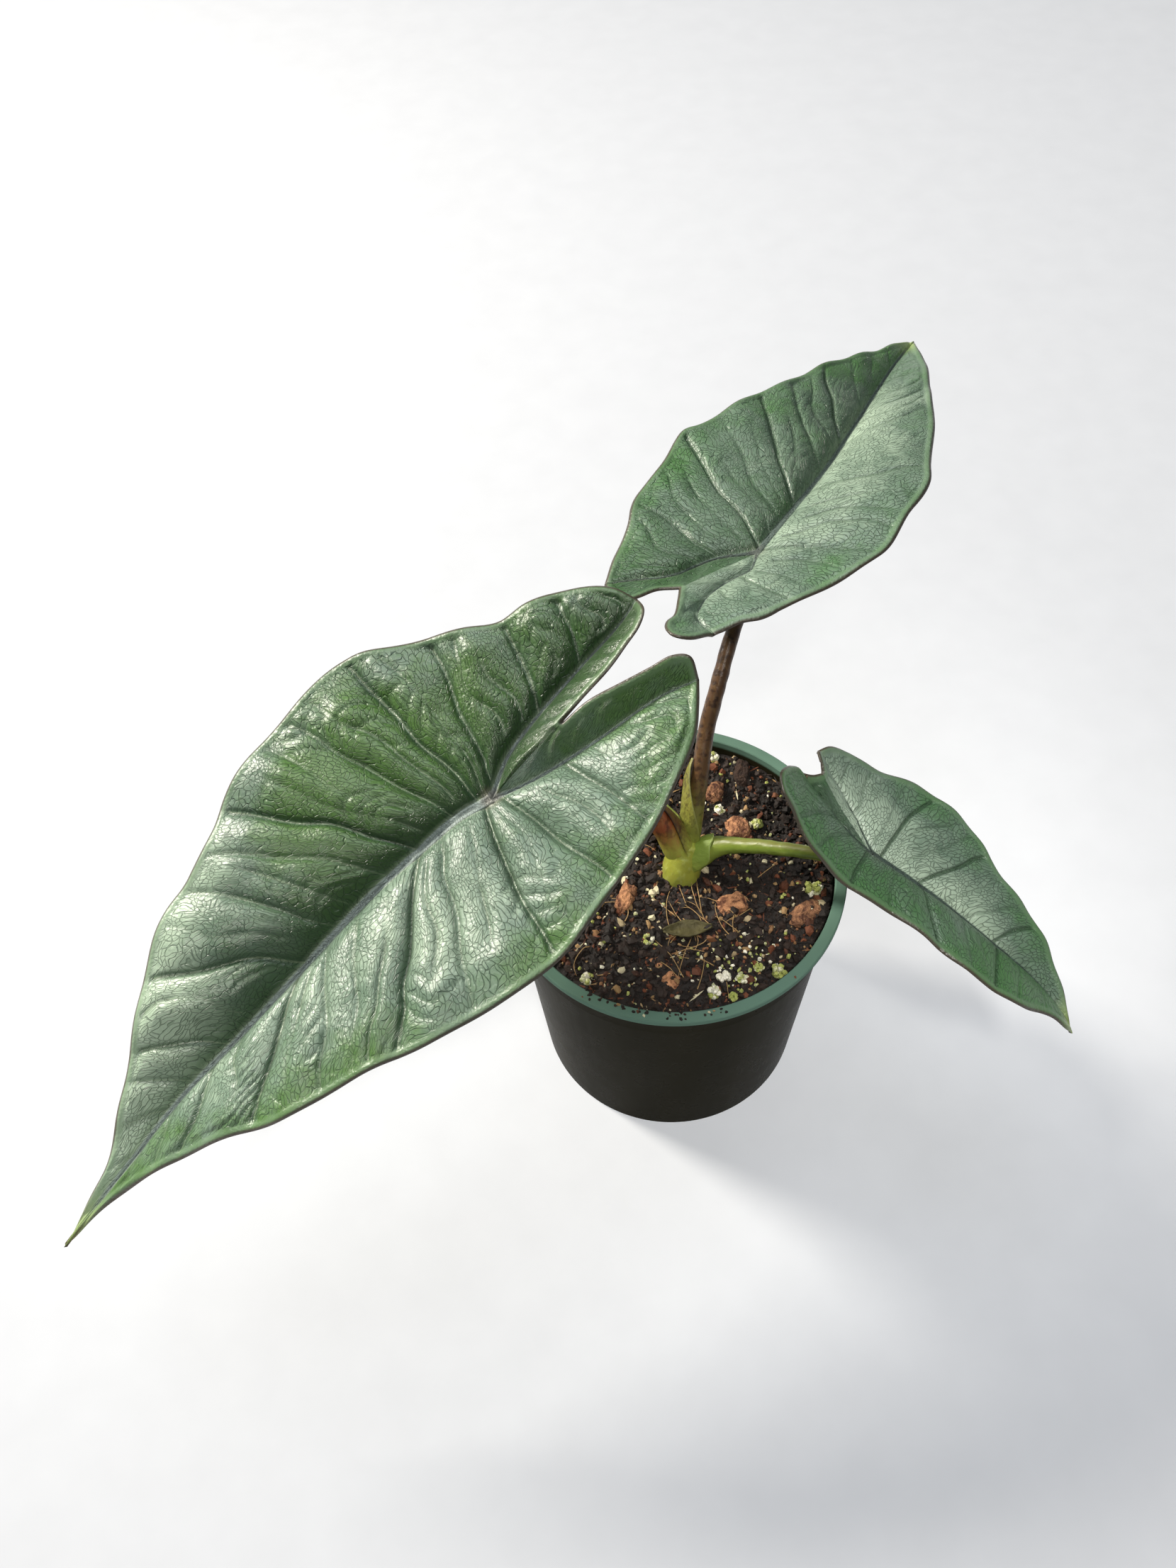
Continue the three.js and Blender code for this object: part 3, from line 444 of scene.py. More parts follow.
# Soft noise from -1 to 1 at each point, in swells of the given size
def waver(u, v, size, seed):
    flat = [noise.noise(Vector((a / size, b / size, seed * 7.3)))
            for a, b in zip(u.ravel(), v.ravel())]
    return np.array(flat).reshape(u.shape)


# 0 at a vein and 1 halfway to the next, round on top
def pillow(turns):
    return 1 - (1 - 2 * np.abs(turns - np.round(turns))) ** 2


# One patch of the blade as a grid of points with what the leaf's material needs at each
def outerPatch(leaf, side):
    rows = rowsOf(leaf, side)
    u, cell, seed = rows["u"], rows["cell"], leaf["seed"]
    rng = np.random.default_rng(seed * 10 + side)
    ribLine, midrib = leaf["ribLines"][side], leaf["midribLine"]
    ribV = np.where(u < 0, np.interp(u, ribLine[::-1, 0], ribLine[::-1, 1]),
                    np.interp(u, midrib[:, 0], midrib[:, 1]))
    mu, mv = alongLine(leaf["outerLines"][side], rows["margin"])
    chord = np.hypot(mu - u, mv - ribV)
    t = placesAcross(chord, leaf["grain"])
    u, ribV, mu, mv, chord, share, margin, bow, depth = (one[:, None] for one in (
        u, ribV, mu, mv, chord, rows["share"], rows["margin"], rows["bow"], rows["depth"]))
    bend = 2 * bow * t * (1 - t)
    length = np.maximum(chord, 1)
    outward = 1 - 2 * side
    pu = u + (mu - u) * t - bend * np.abs(mv - ribV) / length
    pv = ribV + (mv - ribV) * t + outward * bend * (mu - u) / length
    wander = blade["wander"] * np.minimum(1, chord / 30) * 4 * t * (1 - t)
    drift = [wander * waver(pu, pv, 15, seed + k) for k in (30, 31)]
    pu, pv = pu + drift[0], pv + drift[1]

    # width of the cell between two veins, measured square to the rows
    width = np.zeros_like(t)
    for k in np.unique(cell):
        inside = np.where(cell == k)[0]
        a, b = max(inside[0] - 1, 0), inside[-1]
        du, dv = pu[b] - pu[a], pv[b] - pv[a]
        middleRow = inside[len(inside) // 2]
        ru, rv = np.gradient(pu[middleRow]), np.gradient(pv[middleRow])
        width[inside] = np.abs(du * rv - dv * ru) / np.maximum(np.hypot(ru, rv), tiny)
    meanWidth = np.array([width[cell == k].mean() if (cell == k).any() else 1
                          for k in range(cell.max() + 1)])
    veinGap = np.minimum(share, 1 - share) * width
    alongRow = t * chord
    rimGap = gapTo(leaf["loop"], pu, pv)
    inRim = smoothStep(*blade["rimBand"], rimGap)

    # weaker veins between the main ones, each cell with as many as its width asks for: they wind
    # from side to side and lean towards the tip as they near the margin
    counts = np.clip(np.round(meanWidth / blade["ripplePitch"]), 1, blade["rippleMost"])
    count = counts[cell][:, None]
    phase = math.tau * rng.uniform(0, 1, len(counts))[cell][:, None]
    wind = 0.35 * np.sin(6 * t + phase) + 0.4 * waver(pu, pv, 17, seed) - 0.25 * smoothStep(0.5, 1, t)
    sway = np.clip(wind, -0.5, 0.5) * np.sin(math.pi * share) / math.pi
    ripple = np.r_[0, np.cumsum(counts)][cell][:, None] + count * (share + sway)
    rippleWidth = width / count
    many = 64   # more ripples than a half has
    nearest = np.round(ripple).astype(int) % many
    starts, stops = (rng.uniform(*blade[key], many) for key in ("rippleStarts", "rippleStops"))
    rippleFade = smoothStep(-0.02, 0.08, t - starts[nearest]) * (count > 1) \
        * smoothStep(-0.02, 0.2, stops[nearest] - t)
    rippleFade = rippleFade * (0.35 + 0.65 * smoothStep(-0.25, 0.25, waver(pu, pv, 16, seed + 7)))

    # fine ripples that leave the main veins and sweep towards the margin, here and there, but not
    # where the veins crowd near the tip
    shift = rng.uniform(0, 1, (len(counts), 2))[cell, (rows["share"] > 0.5).astype(int)][:, None]
    arch = (alongRow - 9 * (1 - np.exp(-veinGap / 8))) / blade["archPitch"] + shift
    arch = arch + 0.9 * waver(pu, pv, 14, seed + 2) + 0.25 * waver(pu, pv, 6, seed + 4)
    archFade = smoothStep(2.5, 8, alongRow) * smoothStep(-0.15, 0.3, waver(pu, pv, 14, seed + 5))
    archFade = archFade * inRim * smoothStep(5, 13, width)

    # relief: a valley at each vein, with pillows between, less of it where the blade is narrow
    small = np.minimum(1, chord / 20)
    spread = (1 - np.exp(-alongRow / 4)) * (1 - 0.9 * np.maximum(0, (t - 0.78) / 0.22))
    bulge = leaf["quilt"] * np.minimum(1, width / 13) * (1 - depth * np.abs(2 * share - 1) ** 1.7)
    steepness = leaf["cup"] + 0.08 * np.exp(-chord / 15)
    cup = steepness * chord * (1 - np.exp(-7 * t)) * (1 - t) ** 1.4
    waves = leaf["wave"] * np.sin(math.tau * leaf["waves"] * margin) * t ** 3
    relief = cup + (bulge * spread + waves) * small
    relief += leaf["ripple"] * blade["rippleDepth"] * (pillow(ripple) - 1) * rippleFade * inRim \
        * np.minimum(1, rippleWidth / 6) * small
    relief += leaf["ripple"] * blade["archDepth"] * (pillow(arch) - 0.5) * archFade * small
    relief -= blade["grooveDepth"] * ridge(veinGap, 0, blade["grooveWidth"]) * depth * inRim \
        * smoothStep(0, 2.5, alongRow)
    uneven = waver(pu, pv, 9, seed + 9) + 0.3 * waver(pu, pv, 4, seed + 11)
    relief += blade["unevenness"] * uneven * inRim * smoothStep(0, 6, alongRow)
    none = 0 * t
    netAcross = np.r_[0, np.cumsum(meanWidth)][cell][:, None] + share * meanWidth[cell][:, None] + none
    return dict(u=pu, v=pv, relief=relief, rimGap=rimGap, onFlap=False,
                vein=cell[:, None] + share + none, veinWidth=width, veinFade=depth + none,
                ripple=ripple, rippleWidth=rippleWidth, rippleFade=rippleFade,
                arch=arch, archWidth=none + blade["archPitch"], archFade=archFade,
                netAlong=alongRow, netAcross=netAcross)


def flapPatch(leaf, side):
    u = rowsOf(leaf, side)["u"]
    u = u[u <= 0]
    end, ribLine = leaf["halves"][side]["rib"][-1][0], leaf["ribLines"][side]
    ribV = np.interp(u, ribLine[::-1, 0], ribLine[::-1, 1])
    mu, mv = alongLine(leaf["innerLines"][side], (u / end) ** leaf["flapLag"])
    chord = np.hypot(mu - u, mv - ribV)
    longest = math.hypot(*leaf["halves"][0]["inner"][0])
    t = placesAcross(np.r_[chord[:-1], longest], leaf["grain"])
    u, ribV, mu, mv, chord = (one[:, None] for one in (u, ribV, mu, mv, chord))
    pu, pv = u + (mu - u) * t, ribV + (mv - ribV) * t
    rimGap = gapTo(leaf["loop"], pu, pv)
    alongRow, none = t * chord, 0 * t
    vein = (u - 0.5 * alongRow) / blade["flapPitch"] + 0.3 * waver(pu, pv, 12, leaf["seed"] + 3)
    fade = smoothStep(1, 4, alongRow) * smoothStep(0, 6, -u) * smoothStep(*blade["rimBand"], rimGap)
    relief = 0.3 * (np.cos(math.tau * vein) + waver(pu, pv, 9, leaf["seed"] + 9)) * fade
    return dict(u=pu, v=pv, relief=relief, rimGap=rimGap, onFlap=True,
                vein=none, veinWidth=none + 20, veinFade=none,
                ripple=vein, rippleWidth=none + blade["flapPitch"], rippleFade=0.7 * fade,
                arch=none, archWidth=none + 1, archFade=none, netAlong=alongRow, netAcross=none - u)


leafAttributes = (
    "rimGap", "ribGap", "ribWidth", "footGap", "tint", "deep", "tip", "pale", "vein", "veinWidth",
    "veinFade", "ripple", "rippleWidth", "rippleFade", "arch", "archWidth", "archFade", "netAlong",
    "netAcross")


# A patch as a grid in the bmesh, with the ribs and the margin in relief and the leaf's attributes
def addPatch(bm, patch, leaf, flip, layers, weights):
    onFlap = patch.pop("onFlap")
    side = int(flip == onFlap)
    green, ribGreen, rimGreen, tipGreen, deep = (
        leaf[key][side] for key in ("green", "ribGreen", "rimGreen", "tipGreen", "deep"))
    u, v, rimGap, relief = (patch[key] for key in ("u", "v", "rimGap", "relief"))
    ribGap = np.min([gapTo(line, u, v) for line in (leaf["midribLine"], *leaf["ribLines"])], axis=0)
    tip = leaf["midrib"][-1][0]
    backwards = np.minimum(1, u / min(half["rib"][-1][0] for half in leaf["halves"]))
    taper = np.where(u >= 0, 0.35 + 0.65 * np.exp(-3 * u / tip),   # thinner towards the ends
                     0.3 - 0.3 * backwards + 0.7 * np.exp(u / 1.5))
    ribWidth = leaf["ribWidth"] * taper
    raised = np.sqrt(np.clip(1 - (ribGap / ribWidth.clip(0.3)) ** 2, 0, 1))
    grooveDepth, groovePlace, grooveWidth = blade["ribGroove"]
    relief = relief - grooveDepth * ridge(ribGap - ribWidth, groovePlace, grooveWidth)
    relief = relief + 0.5 * ribWidth * raised * (u >= 0)
    for sign, at in ((1, blade["rimRidge"]), (-1, blade["rimGroove"])):
        relief = relief + sign * blade["rimRelief"] * ridge(rimGap, at, blade["rimWidth"])
    relief = relief - blade["edgeDrop"] * np.clip(1 - rimGap, 0, 1) ** 2
    place = onLeaf(leaf, u, v, foldHeight(leaf, u, v, ribWidth, onFlap) + relief) * mm
    tint = 0.6 * waver(u, v, 22, leaf["seed"] + 20) + 0.3 * waver(u, v, 8, leaf["seed"] + 21)
    # each half's green is partly painted light and shade: paler on the half that meets the light, greener on
    # the half turned from it
    tint = tint + green + ribGreen * np.exp(-ribGap / 16) \
        + rimGreen * (1 - smoothStep(2, 20, rimGap)) \
        + tipGreen * smoothStep(0.1 * tip, 0.7 * tip, u)
    # painted shade: darker beside the ribs on the half turned from the light, fading towards the tip
    deep = deep * np.exp(-ribGap / 14) * (1 - smoothStep(0.5 * tip, 0.9 * tip, u))
    for kind in ("vein", "ripple", "arch"):   # a smaller leaf has finer veins
        patch[kind + "Width"] = patch[kind + "Width"] * 1.25 / leaf["ribWidth"]
    patch.update(ribGap=ribGap, ribWidth=ribWidth, footGap=np.hypot(u, v), tint=tint, deep=deep,
                 tip=smoothStep(0.86 * tip, tip, u), pale=leaf["pale"] + 0 * u)

    # the ribs stand out below, less and less towards their ends
    depth = leaf["ribDepth"] * np.where(u >= 0, 1 - u / tip, 0.7 * (1 - backwards))
    below = np.maximum(depth * ridge(ribGap, 0, 1.6), 0)
    full = blade["thickness"] + leaf["ribDepth"]
    rowCount, columnCount = u.shape
    first = len(bm.verts)
    bmesh.ops.create_grid(bm, x_segments=columnCount - 1, y_segments=rowCount - 1, size=1)
    bm.verts.ensure_lookup_table()
    columns = [patch[name].ravel() for name in leafAttributes]
    flat, thickness = place.reshape(-1, 3), (blade["thickness"] + below.ravel()) / full
    for i, vert in enumerate(bm.verts[first:]):
        vert.co = flat[i]
        for layer, column in zip(layers, columns):
            vert[layer] = column[i]
        vert[weights][0] = thickness[i]
    if flip:
        bmesh.ops.reverse_faces(bm, faces=[face for face in bm.faces if face.verts[0].index >= first])


def makeLeaf(name, materials):
    leaf = leaves[name]
    leaf["midribLine"] = smoothLine(leaf["midrib"])[0]
    leaf["ribLines"] = [smoothLine(half["rib"], 120)[0] for half in leaf["halves"]]
    outer = [smoothLine(half["outer"]) for half in leaf["halves"]]
    leaf["outerLines"] = [line for line, _ in outer]
    leaf["marginLengths"] = [length for _, length in outer]
    leaf["innerLines"] = [smoothLine(half["inner"], 120)[0] for half in leaf["halves"]]
    leaf["loop"] = np.vstack([leaf["innerLines"][0], leaf["outerLines"][0],
                              leaf["outerLines"][1][::-1], leaf["innerLines"][1][::-1]])
    bm = bmesh.new()
    layers = [bm.verts.layers.float.new(attribute) for attribute in leafAttributes]
    weights = bm.verts.layers.deform.verify()
    for side in (0, 1):
        addPatch(bm, outerPatch(leaf, side), leaf, side == 0, layers, weights)
        addPatch(bm, flapPatch(leaf, side), leaf, side == 1, layers, weights)
        bm.verts.index_update()
    bmesh.ops.remove_doubles(bm, verts=bm.verts, dist=0.02 * mm)
    bmesh.ops.dissolve_degenerate(bm, dist=0.001 * mm, edges=bm.edges)
    piece = newPiece(name + "_blade", bm, [name], materials)
    piece.vertex_groups.new(name="body")
    addModifier(piece, "thickness", "SOLIDIFY", thickness=(blade["thickness"] + leaf["ribDepth"]) * mm,
                offset=-1, vertex_group="body", material_offset=1, material_offset_rim=2)
    print(name, "made:", len(piece.data.vertices), "points")


# Living leaf, upper face: a waxy grained skin over silvery cells, which shines in broken patches.
# A vein is a fine pale thread, sunk in a valley painted darker: partly the vein's own tone and partly
# painted shade in its groove. Beside the ribs painted shade darkens the blade, and each half is
# painted paler where it meets the light and greener where it turns from it.
def leafFace():
    material, tree, at = newMaterial("leaf_upper_face", *leafAttributes)
    place, rimGap, tip, pale = at["place"], at["rimGap"], at["tip"], at["pale"]
    inside = addNode(tree, "MapRange", {"Value": rimGap, "From Min": 1.8, "From Max": 2.8})
    marks = [0.0, 0.0]   # of the threads and of the valleys
    for kind, widths, strengths in blade["veinKinds"]:
        gap = addNode(tree, "Math", {0: at[kind], 1: 0.5}, operation="PINGPONG")
        gap = addNode(tree, "Math", {0: gap, 1: at[kind + "Width"]})
        fade = addNode(tree, "Math", {0: at[kind + "Fade"], 1: inside})
        for i, (width, strength) in enumerate(zip(widths, strengths)):
            mark = addNode(tree, "MapRange", {"Value": gap, "From Min": width, "From Max": 0.3 * width,
                                              "To Max": strength}, interpolation_type="SMOOTHSTEP")
            mark = addNode(tree, "Math", {0: mark, 1: fade})
            marks[i] = addNode(tree, "Math", {0: mark, 1: marks[i]}, operation="MAXIMUM")
    thread, valley = marks

    # the smallest veins close into a net, stretched along the larger ones
    net = addNode(tree, "CombineXYZ", {"X": at["netAlong"], "Y": at["netAcross"]})
    net = addNode(tree, "Mapping", {"Vector": net, "Scale": blade["mesh"]})
    bent = addNode(tree, "TexNoise", {"Vector": place, "Scale": 90.0, "Detail": 2.0}, out="Color")
    net = addNode(tree, "VectorMath", {0: bent, 1: (1.6, 1.6, 0), 2: net}, operation="MULTIPLY_ADD")
    net = addNode(tree, "TexVoronoi", {"Vector": net}, feature="DISTANCE_TO_EDGE", voronoi_dimensions="2D")
    loop = addNode(tree, "MapRange", {"Value": net, "From Min": 0.1, "From Max": 0.02},
                   interpolation_type="SMOOTHSTEP")
    loop = addNode(tree, "Math", {0: loop, 1: inside})
    loopShade = addNode(tree, "Math", {0: loop, 1: 0.35})
    valley = addNode(tree, "Math", {0: valley, 1: loopShade}, operation="MAXIMUM")

    # silvery where the cells hold air, greener in soft patches and towards the margin. By each half's
    # green, the half that meets the light is painted paler and the half turned from it greener: painted light
    # and shade
    cells = addNode(tree, "TexNoise", {"Vector": place, "Scale": 260.0, "Detail": 3.0})
    patches = addNode(tree, "Math", {0: cells, 1: at["tint"]}, operation="ADD")
    green = addNode(tree, "MapRange", {"Value": patches, "From Min": 0.4, "From Max": 1.5},
                    interpolation_type="SMOOTHSTEP")
    silver = addNode(tree, "MapRange", {"Value": patches, "From Min": 0.5, "From Max": -0.6})
    colour = addNode(tree, "Mix", {"Factor": silver, "A": "#687E6C", "B": "#ABBFA8"})
    leafGreen = addNode(tree, "Mix", {"Factor": pale, "A": "#4B7648", "B": "#4B6E34"})

    # bands by the distance in mm where each starts and is full, and how strong it is
    outsideRib = addNode(tree, "Math", {0: at["ribGap"], 1: at["ribWidth"]}, operation="SUBTRACT")
    besideRib, onRib, foot, rim, edge = (
        addNode(tree, "MapRange", {"Value": gap, "From Min": start, "From Max": full, "To Max": most})
        for gap, start, full, most in (
            (outsideRib, 0.9, 0.3, 0.35), (outsideRib, 0.25, -0.15, 1.0), (at["footGap"], 3.6, 1.4, 0.45),
            (rimGap, 2.4, 1.6, 0.5), (rimGap, 0.95, 0.4, 1.0)))
    tipless = addNode(tree, "Math", {0: tip, 1: -0.8, 2: 1.0}, operation="MULTIPLY_ADD")
    thread, besideRib, foot, edge = (
        addNode(tree, "Math", {0: mark, 1: share})
        for mark, share in ((thread, pale), (besideRib, pale), (foot, pale), (edge, tipless)))
    slate = addNode(tree, "Mix", {"Factor": pale, "A": "#2C4236", "B": "#86948F"})
    # over the silver: #1E3C17 beside the ribs is painted shade, and #2F4A30 in the vein valleys is partly the
    # veins' own tone and partly painted shade
    for factor, over in ((green, leafGreen), (at["deep"], "#1E3C17"), (valley, "#2F4A30"),
                         (thread, "#A9B597"), (besideRib, "#93A38A"), (onRib, slate), (foot, "#7E6C60"),
                         (rim, "#5F7A57"), (tip, "#93A860"), (edge, "#40392C")):
        colour = addNode(tree, "Mix", {"Factor": factor, "A": colour, "B": over})

    # the skin's grain is drawn about twice as coarse as it is, to show from a step away
    grain = addNode(tree, "TexVoronoi", {"Vector": place, "Scale": 1500.0}, feature="SMOOTH_F1")
    pebble = addNode(tree, "TexNoise", {"Vector": place, "Scale": 900.0, "Detail": 3.0})
    hammered = addNode(tree, "TexNoise", {"Vector": place, "Scale": 520.0, "Detail": 2.0})
    height = 0.0
    for part, depth in ((grain, -0.1), (pebble, 0.18), (hammered, 0.1), (valley, -0.3), (loop, -0.2),
                        (onRib, 0.3)):
        height = addNode(tree, "Math", {0: part, 1: depth, 2: height}, operation="MULTIPLY_ADD")
    shine = addNode(tree, "MapRange", {"Value": pebble, "From Min": 0.3, "From Max": 0.7,
                                       "To Min": 0.34, "To Max": 0.5})
    shine = addNode(tree, "Mix", {"Factor": onRib, "A": shine, "B": 0.75}, data_type="FLOAT")
    return closeMaterial(material, tree, {
        "Base Color": colour, "Roughness": shine, "IOR": 1.5, "Specular IOR Level": 0.6,
        "Coat Weight": 0.12, "Coat Roughness": 0.4,
    }, height)


# Living leaf, underside: dull and paler, with a purple-brown cast on the ribs
def leafUnderside():
    material, tree, at = newMaterial("leaf_underside", "ribGap")
    cells = addNode(tree, "TexNoise", {"Vector": at["place"], "Scale": 300.0, "Detail": 4.0})
    rib = addNode(tree, "MapRange", {"Value": at["ribGap"], "From Min": 3.0, "From Max": 1.0},
                  interpolation_type="SMOOTHSTEP")
    colour = addNode(tree, "Mix", {"Factor": cells, "A": "#5F7A5C", "B": "#6F8468"})
    colour = addNode(tree, "Mix", {"Factor": rib, "A": colour, "B": "#7A6A52"})
    return closeMaterial(material, tree, {"Base Color": colour, "Roughness": 0.6}, cells)


# The blade's cut edge: a hard dark margin
def leafEdge():
    material, tree, at = newMaterial("leaf_margin")
    cells = addNode(tree, "TexNoise", {"Vector": at["place"], "Scale": 500.0})
    colour = addNode(tree, "Mix", {"Factor": cells, "A": "#3A342A", "B": "#524C3C"})
    return closeMaterial(material, tree, {"Base Color": colour, "Roughness": 0.55})


leafMaterials = [leafFace(), leafUnderside(), leafEdge()]
for leafName in leaves:
    makeLeaf(leafName, leafMaterials)

# Pot
pot = {
    # radius and height of the wall's section, from the middle of the foot round to the inside floor
    "outside": [(0, 0), (41.2, 0), (42, 0.8), (47.45, 79.6), (48.85, 81), (49.15, 89.4), (51, 89.9),
                (51, 91.7), (50.7, 92)],
    "inside": [(47.9, 92), (47.6, 91.7), (47.5, 81.4), (46.1, 80), (40.9, 1.6), (0, 1.6)],
    "steps": 144, "edge": 0.25,
    "drainHoles": 6, "drainRadius": 4, "drainCircle": 27,
}


# A round piece from its section, spun about the upright axis
def spinSection(bm, section, steps):
    verts = [bm.verts.new((r * mm, 0, z * mm)) for r, z in section]
    edges = [bm.edges.new(pair) for pair in zip(verts, verts[1:])]
    bmesh.ops.spin(bm, geom=verts + edges, cent=(0, 0, 0), axis=(0, 0, 1), angle=math.tau,
                   steps=steps, use_merge=True)
    bmesh.ops.remove_doubles(bm, verts=bm.verts, dist=0.001 * mm)
    bmesh.ops.recalc_face_normals(bm, faces=bm.faces)


# Injection-moulded polypropylene, dark green: smooth, with faint flow ripples. The wall is painted nearly
# black with a warm brown cast: its own dark green, with painted shade where it turns from the light and
# painted reflection in the brown. The lip is painted paler: its own green with painted light on its top.
def mouldedPolypropylene():
    material, tree, at = newMaterial("moulded_polypropylene")
    tall = addNode(tree, "Mapping", {"Vector": at["place"], "Scale": (1, 1, 0.06)})
    flow = addNode(tree, "TexNoise", {"Vector": tall, "Scale": 70.0, "Detail": 2.0})
    z = addNode(tree, "SeparateXYZ", {"Vector": at["place"]}, out="Z")
    # the lip's paler colour is partly painted light on the top; the wall's near black is partly painted shade
    # and painted reflection
    lip = addNode(tree, "MapRange", {"Value": z, "From Min": 89.0 * mm, "From Max": 90.0 * mm})
    wall = addNode(tree, "Mix", {"Factor": flow, "A": "#1A180E", "B": "#282519"})
    colour = addNode(tree, "Mix", {"Factor": lip, "A": wall, "B": "#5E7A6C"})
    scuff = addNode(tree, "TexNoise", {"Vector": at["place"], "Scale": 120.0, "Detail": 2.0})
    rough = addNode(tree, "MapRange", {"Value": scuff, "To Min": 0.24, "To Max": 0.32})
    return closeMaterial(material, tree, {
        "Base Color": colour, "Roughness": rough, "IOR": 1.49, "Specular IOR Level": 0.002,
    }, flow)


bm = bmesh.new()
spinSection(bm, pot["outside"] + pot["inside"], pot["steps"])
potPiece = newPiece("pot_wall", bm, ["pot"], [mouldedPolypropylene()])

bm = bmesh.new()
for i in range(pot["drainHoles"]):
    angle = math.tau * (i + 0.5) / pot["drainHoles"]
    x, y = (pot["drainCircle"] * part(angle) * mm for part in (math.cos, math.sin))
    bmesh.ops.create_cone(bm, cap_ends=True, segments=24, radius1=pot["drainRadius"] * mm,
                          radius2=pot["drainRadius"] * mm, depth=6 * mm, matrix=Matrix.Translation((x, y, 0)))
drills = addObject("drills", meshFrom("drills", bm))
addModifier(potPiece, "drain_holes", "BOOLEAN", object=drills)
addModifier(potPiece, "rounding", "BEVEL", width=pot["edge"] * mm, segments=2, limit_method="ANGLE",
            angle_limit=math.radians(40))
finished = bpy.data.meshes.new_from_object(
    potPiece.evaluated_get(bpy.context.evaluated_depsgraph_get()))
potPiece.modifiers.clear()
potPiece.data = finished
bpy.data.objects.remove(drills)
finished.shade_smooth()
finished.set_sharp_from_angle(angle=math.radians(35))
print("pot made")

# Potting mix
soil = {
    "floor": 1.95, "wall": [(40.55, 1.95), (45.75, 80.35), (47.15, 81.75)], "radius": 47.15,
    "level": 88.3, "tilt": 1.3, "hollow": (18, -3, 9, 1.6), "rings": 64, "steps": 220,
    # size, height and seed of the bumps in its top
    "bumps": [(7, 1.2, 3), (2.4, 0.8, 9)],
    "crumbs": 7200, "fibres": 1200, "spilled": 60, "fine": 270, "reach": 46.7, "fineReach": 46,
    # a crumb's least size, how much more on average, and the most; a fibre; and where on the pot's
    # lip the spilled crumbs lie, their angle and its spread first
    "crumbSize": (0.25, 0.26, 1.5), "fibreLength": (1.2, 3.4), "fibreForm": (0.24, 0.2), "fibreLean": 0.12,
    "lipAngle": (-100, 16), "lipRadius": (46.4, 50.2), "lipHeight": 92.1, "spilledForm": (0.55, 0.4, 0.35),
    # shades from which a bit turns brown, red-brown, tan or cream
    "bits": [(0.3, 0.75, "#2A1B13"), (0.8, 0.86, "#6A3A22"), (0.91, 0.94, "#9A7B52"),
             (0.97, 0.985, "#CFC6A4")],
}


def soilHeight(x, y):
    z = soil["level"] - soil["tilt"] * y / soil["radius"]
    hx, hy, reach, depth = soil["hollow"]
    z -= depth * math.exp(-((x - hx) ** 2 + (y - hy) ** 2) / reach ** 2)
    for size, height, seed in soil["bumps"]:
        z += height * noise.noise(Vector((x / size, y / size, seed)))
    return z


# Peat and fine bark, damp: near black in its gaps, with brown, red-brown and tan bits
def pottingMix():
    material, tree, at = newMaterial("potting_mix", "shade")
    flecks = addNode(tree, "TexNoise", {"Vector": at["place"], "Scale": 900.0, "Detail": 5.0})
    colour = addNode(tree, "Mix", {"Factor": flecks, "A": "#070403", "B": "#1E130C"})
    for low, high, bit in soil["bits"]:
        mark = addNode(tree, "MapRange", {"Value": at["shade"], "From Min": low, "From Max": high})
        colour = addNode(tree, "Mix", {"Factor": mark, "A": colour, "B": bit})
    return closeMaterial(material, tree, {"Base Color": colour, "Roughness": 0.75}, flecks, 0.5)


mixMaterial = pottingMix()
bm = bmesh.new()
top = [(soil["radius"] * (1 - i / soil["rings"]), soil["level"]) for i in range(soil["rings"] + 1)]
spinSection(bm, [(0, soil["floor"]), *soil["wall"], *top], soil["steps"])
for vert in bm.verts:
    if vert.co.z > (soil["level"] - 0.1) * mm:
        vert.co.z = soilHeight(vert.co.x / mm, vert.co.y / mm) * mm
bmesh.ops.recalc_face_normals(bm, faces=bm.faces)
newPiece("soil_mix", bm, ["soil"], [mixMaterial])


# Rough little lumps to copy: icospheres with their corners pushed about
def lumpShapes(count, subdivisions, push, rng):
    shapes = []
    for _ in range(count):
        bm = bmesh.new()
        bmesh.ops.create_icosphere(bm, subdivisions=subdivisions, radius=1)
        for vert in bm.verts:
            vert.co *= 1 + push * rng.uniform(-1, 1)
        shapes.append(meshFrom("lump", bm))
    return shapes


# Many copies of the lumps in one mesh, each with its own place, size, turn and shade
def scatterLumps(name, shapes, placed, materials, nodes=()):
    bm = bmesh.new()
    for i in range(len(placed)):
        bm.from_mesh(shapes[i % len(shapes)])
    mesh = newPiece(name, bm, nodes, materials, smooth=False).data
    perLump = len(shapes[0].vertices)
    points = np.empty(len(mesh.vertices) * 3)
    mesh.vertices.foreach_get("co", points)
    points = points.reshape(len(placed), perLump, 3)
    for i, (x, y, z, size, turn, shade) in enumerate(placed):
        points[i] = (points[i] * size) @ np.array(turn).T + (x, y, z)
    mesh.vertices.foreach_set("co", (points * mm).ravel())
    shades = mesh.attributes.new("shade", "FLOAT", "POINT")
    shades.data.foreach_set("value", np.repeat([lump[5] for lump in placed], perLump))
    mesh.update()


def randomTurn(rng, flat=1.0):
    return Matrix.Rotation(rng.uniform(0, math.tau), 3, "Z") \
        @ Matrix.Rotation(rng.uniform(-1, 1) * math.pi * flat, 3, "X")


